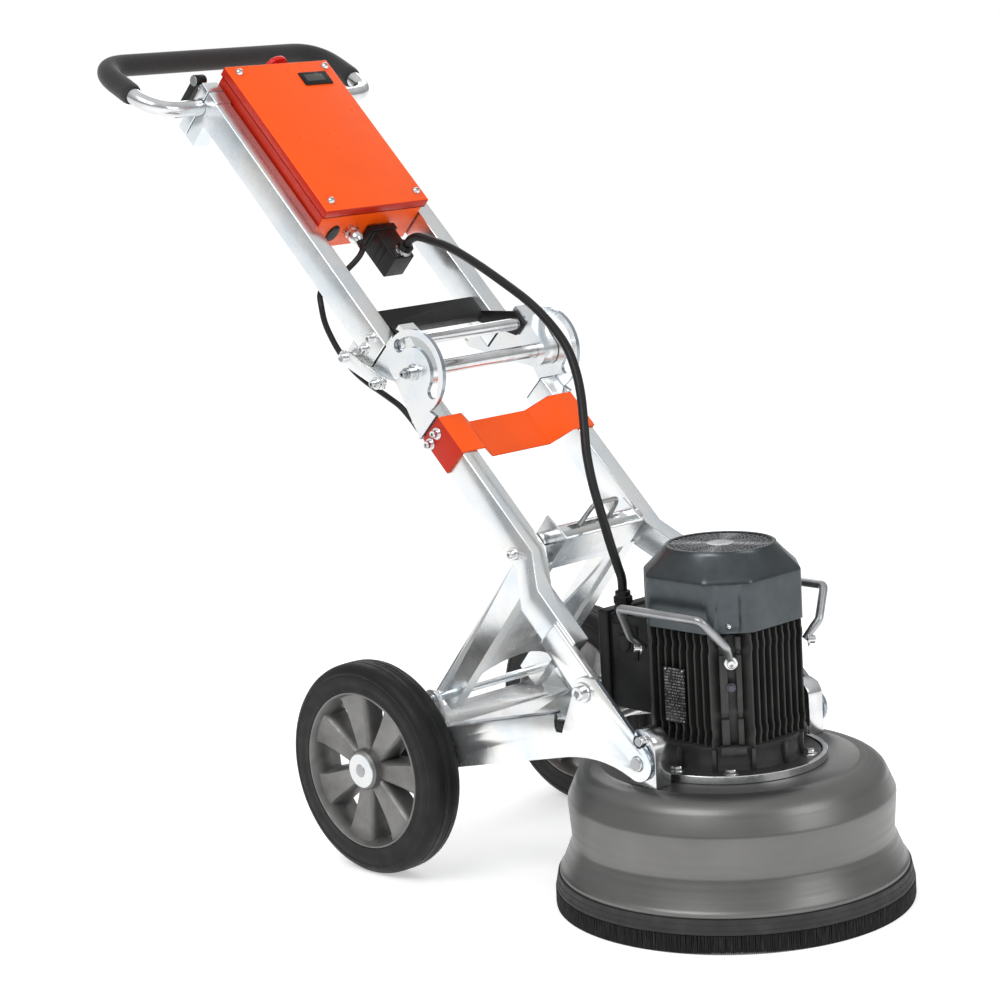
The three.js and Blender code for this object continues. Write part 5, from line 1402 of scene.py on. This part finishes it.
def air_light(tree):
    """White air behind everything; the light from it is stronger overhead than at the horizon"""
    seen = tree.nodes["Background"]
    seen.inputs["Color"].default_value = (1, 1, 1, 1)
    seen.inputs["Strength"].default_value = 1.0
    lit = tree.nodes.new("ShaderNodeBackground")
    height = tree.nodes.new("ShaderNodeSeparateXYZ")
    grade = tree.nodes.new("ShaderNodeMapRange")
    for name, value in (("From Min", -0.1), ("From Max", 0.9), ("To Min", 0.33), ("To Max", 1.0)):
        grade.inputs[name].default_value = value
    ray = tree.nodes.new("ShaderNodeLightPath")
    both = tree.nodes.new("ShaderNodeMixShader")
    wire_up(tree, (tree.nodes.new("ShaderNodeTexCoord").outputs["Generated"], height.inputs[0]),
            (height.outputs["Z"], grade.inputs["Value"]), (grade.outputs["Result"], lit.inputs["Strength"]),
            (ray.outputs["Is Camera Ray"], both.inputs["Fac"]), (lit.outputs[0], both.inputs[1]),
            (seen.outputs[0], both.inputs[2]),
            (both.outputs[0], tree.nodes["World Output"].inputs["Surface"]))


class GRINDER_OT_stage(bpy.types.Operator):
    """Camera, plain pale floor and soft studio light"""
    bl_idname = "grinder.stage"
    bl_label = "Stage"

    def execute(self, context):
        scene = context.scene
        turn, rise, roll = math.radians(46.86), math.radians(10.04), math.radians(-3.41)
        back = Vector((math.sin(turn) * math.cos(rise), -math.cos(turn) * math.cos(rise), math.sin(rise)))
        right = Vector((math.cos(turn), math.sin(turn), 0))
        up = back.cross(right)
        across = right * math.cos(roll) + up * math.sin(roll)
        above = up * math.cos(roll) - right * math.sin(roll)
        data = bpy.data.cameras.new("studio_camera")
        data.lens, data.sensor_width = 97.6, 36
        data.shift_x, data.shift_y = 0.0356, -0.0016
        data.clip_end = 100
        camera = bpy.data.objects.new("studio_camera", data)
        scene.collection.objects.link(camera)
        camera.matrix_world = Matrix.Translation((2.80598, -2.7257, 1.2221)) @ Matrix(
            (across, above, back)).transposed().to_4x4()
        scene.camera = camera

        bm = bmesh.new()
        for x, y in ((-1, -1), (1, -1), (1, 1), (-1, 1)):
            bm.verts.new((x * FLOOR_HALF, y * FLOOR_HALF, 0))
        bm.faces.new(bm.verts)
        mesh = plain_mesh("studio_floor", bm)
        mesh.materials.append(FINISH["floor"])
        floor = bpy.data.objects.new("studio_floor", mesh)
        scene.collection.objects.link(floor)

        world = bpy.data.worlds.new("studio_air")
        world.use_nodes = True
        air_light(world.node_tree)
        scene.world = world
        scene.view_settings.view_transform = "Standard"
        middle = (0.1, 0, 0.5)
        soft_light("key_light", (0.6, -2.6, 3.2), middle, (2.4, 1.6), 50)
        soft_light("front_light", (3.2, 0.4, 1.8), middle, (1.6, 1.6), 20)
        soft_light("back_light", (-2.4, 2.2, 2.6), middle, (2.0, 1.2), 20)
        return {"FINISHED"}


OPERATORS = (
    GRINDER_OT_stage, GRINDER_OT_cables, GRINDER_OT_shroud, GRINDER_OT_skirt, GRINDER_OT_lugs, GRINDER_OT_motor,
    GRINDER_OT_fan_cover, GRINDER_OT_terminal_box, GRINDER_OT_lift_handles, GRINDER_OT_chassis,
    GRINDER_OT_wheels, GRINDER_OT_lower_frame, GRINDER_OT_strut, GRINDER_OT_upper_frame,
    GRINDER_OT_control_box, GRINDER_OT_handlebar, GRINDER_OT_drive,
)


class GRINDER_PT_pieces(bpy.types.Panel):
    """The machine's pieces, in the order they are made"""
    bl_idname = "GRINDER_PT_pieces"
    bl_label = "Floor grinder"
    bl_space_type = "VIEW_3D"
    bl_region_type = "UI"
    bl_category = "Grinder"

    def draw(self, context):
        for group in (context.scene.grinder_finishes, context.scene.grinder_sizes):
            box = self.layout.box()
            for name in group.__annotations__:
                box.prop(group, name)
        for operator in OPERATORS:
            self.layout.operator(operator.bl_idname)


CLASSES = (GRINDER_PG_finishes, GRINDER_PG_sizes, *OPERATORS, GRINDER_PT_pieces)


def register():
    for one in CLASSES:
        bpy.utils.register_class(one)
    bpy.types.Scene.grinder_finishes = bpy.props.PointerProperty(type=GRINDER_PG_finishes)
    bpy.types.Scene.grinder_sizes = bpy.props.PointerProperty(type=GRINDER_PG_sizes)


def unregister():
    del bpy.types.Scene.grinder_sizes
    del bpy.types.Scene.grinder_finishes
    for one in reversed(CLASSES):
        bpy.utils.unregister_class(one)


def main():
    register()
    make_finishes(bpy.context.scene.grinder_finishes)
    for operator in OPERATORS:
        group, name = operator.bl_idname.split(".")
        getattr(getattr(bpy.ops, group), name)()


if __name__ == "__main__":
    main()
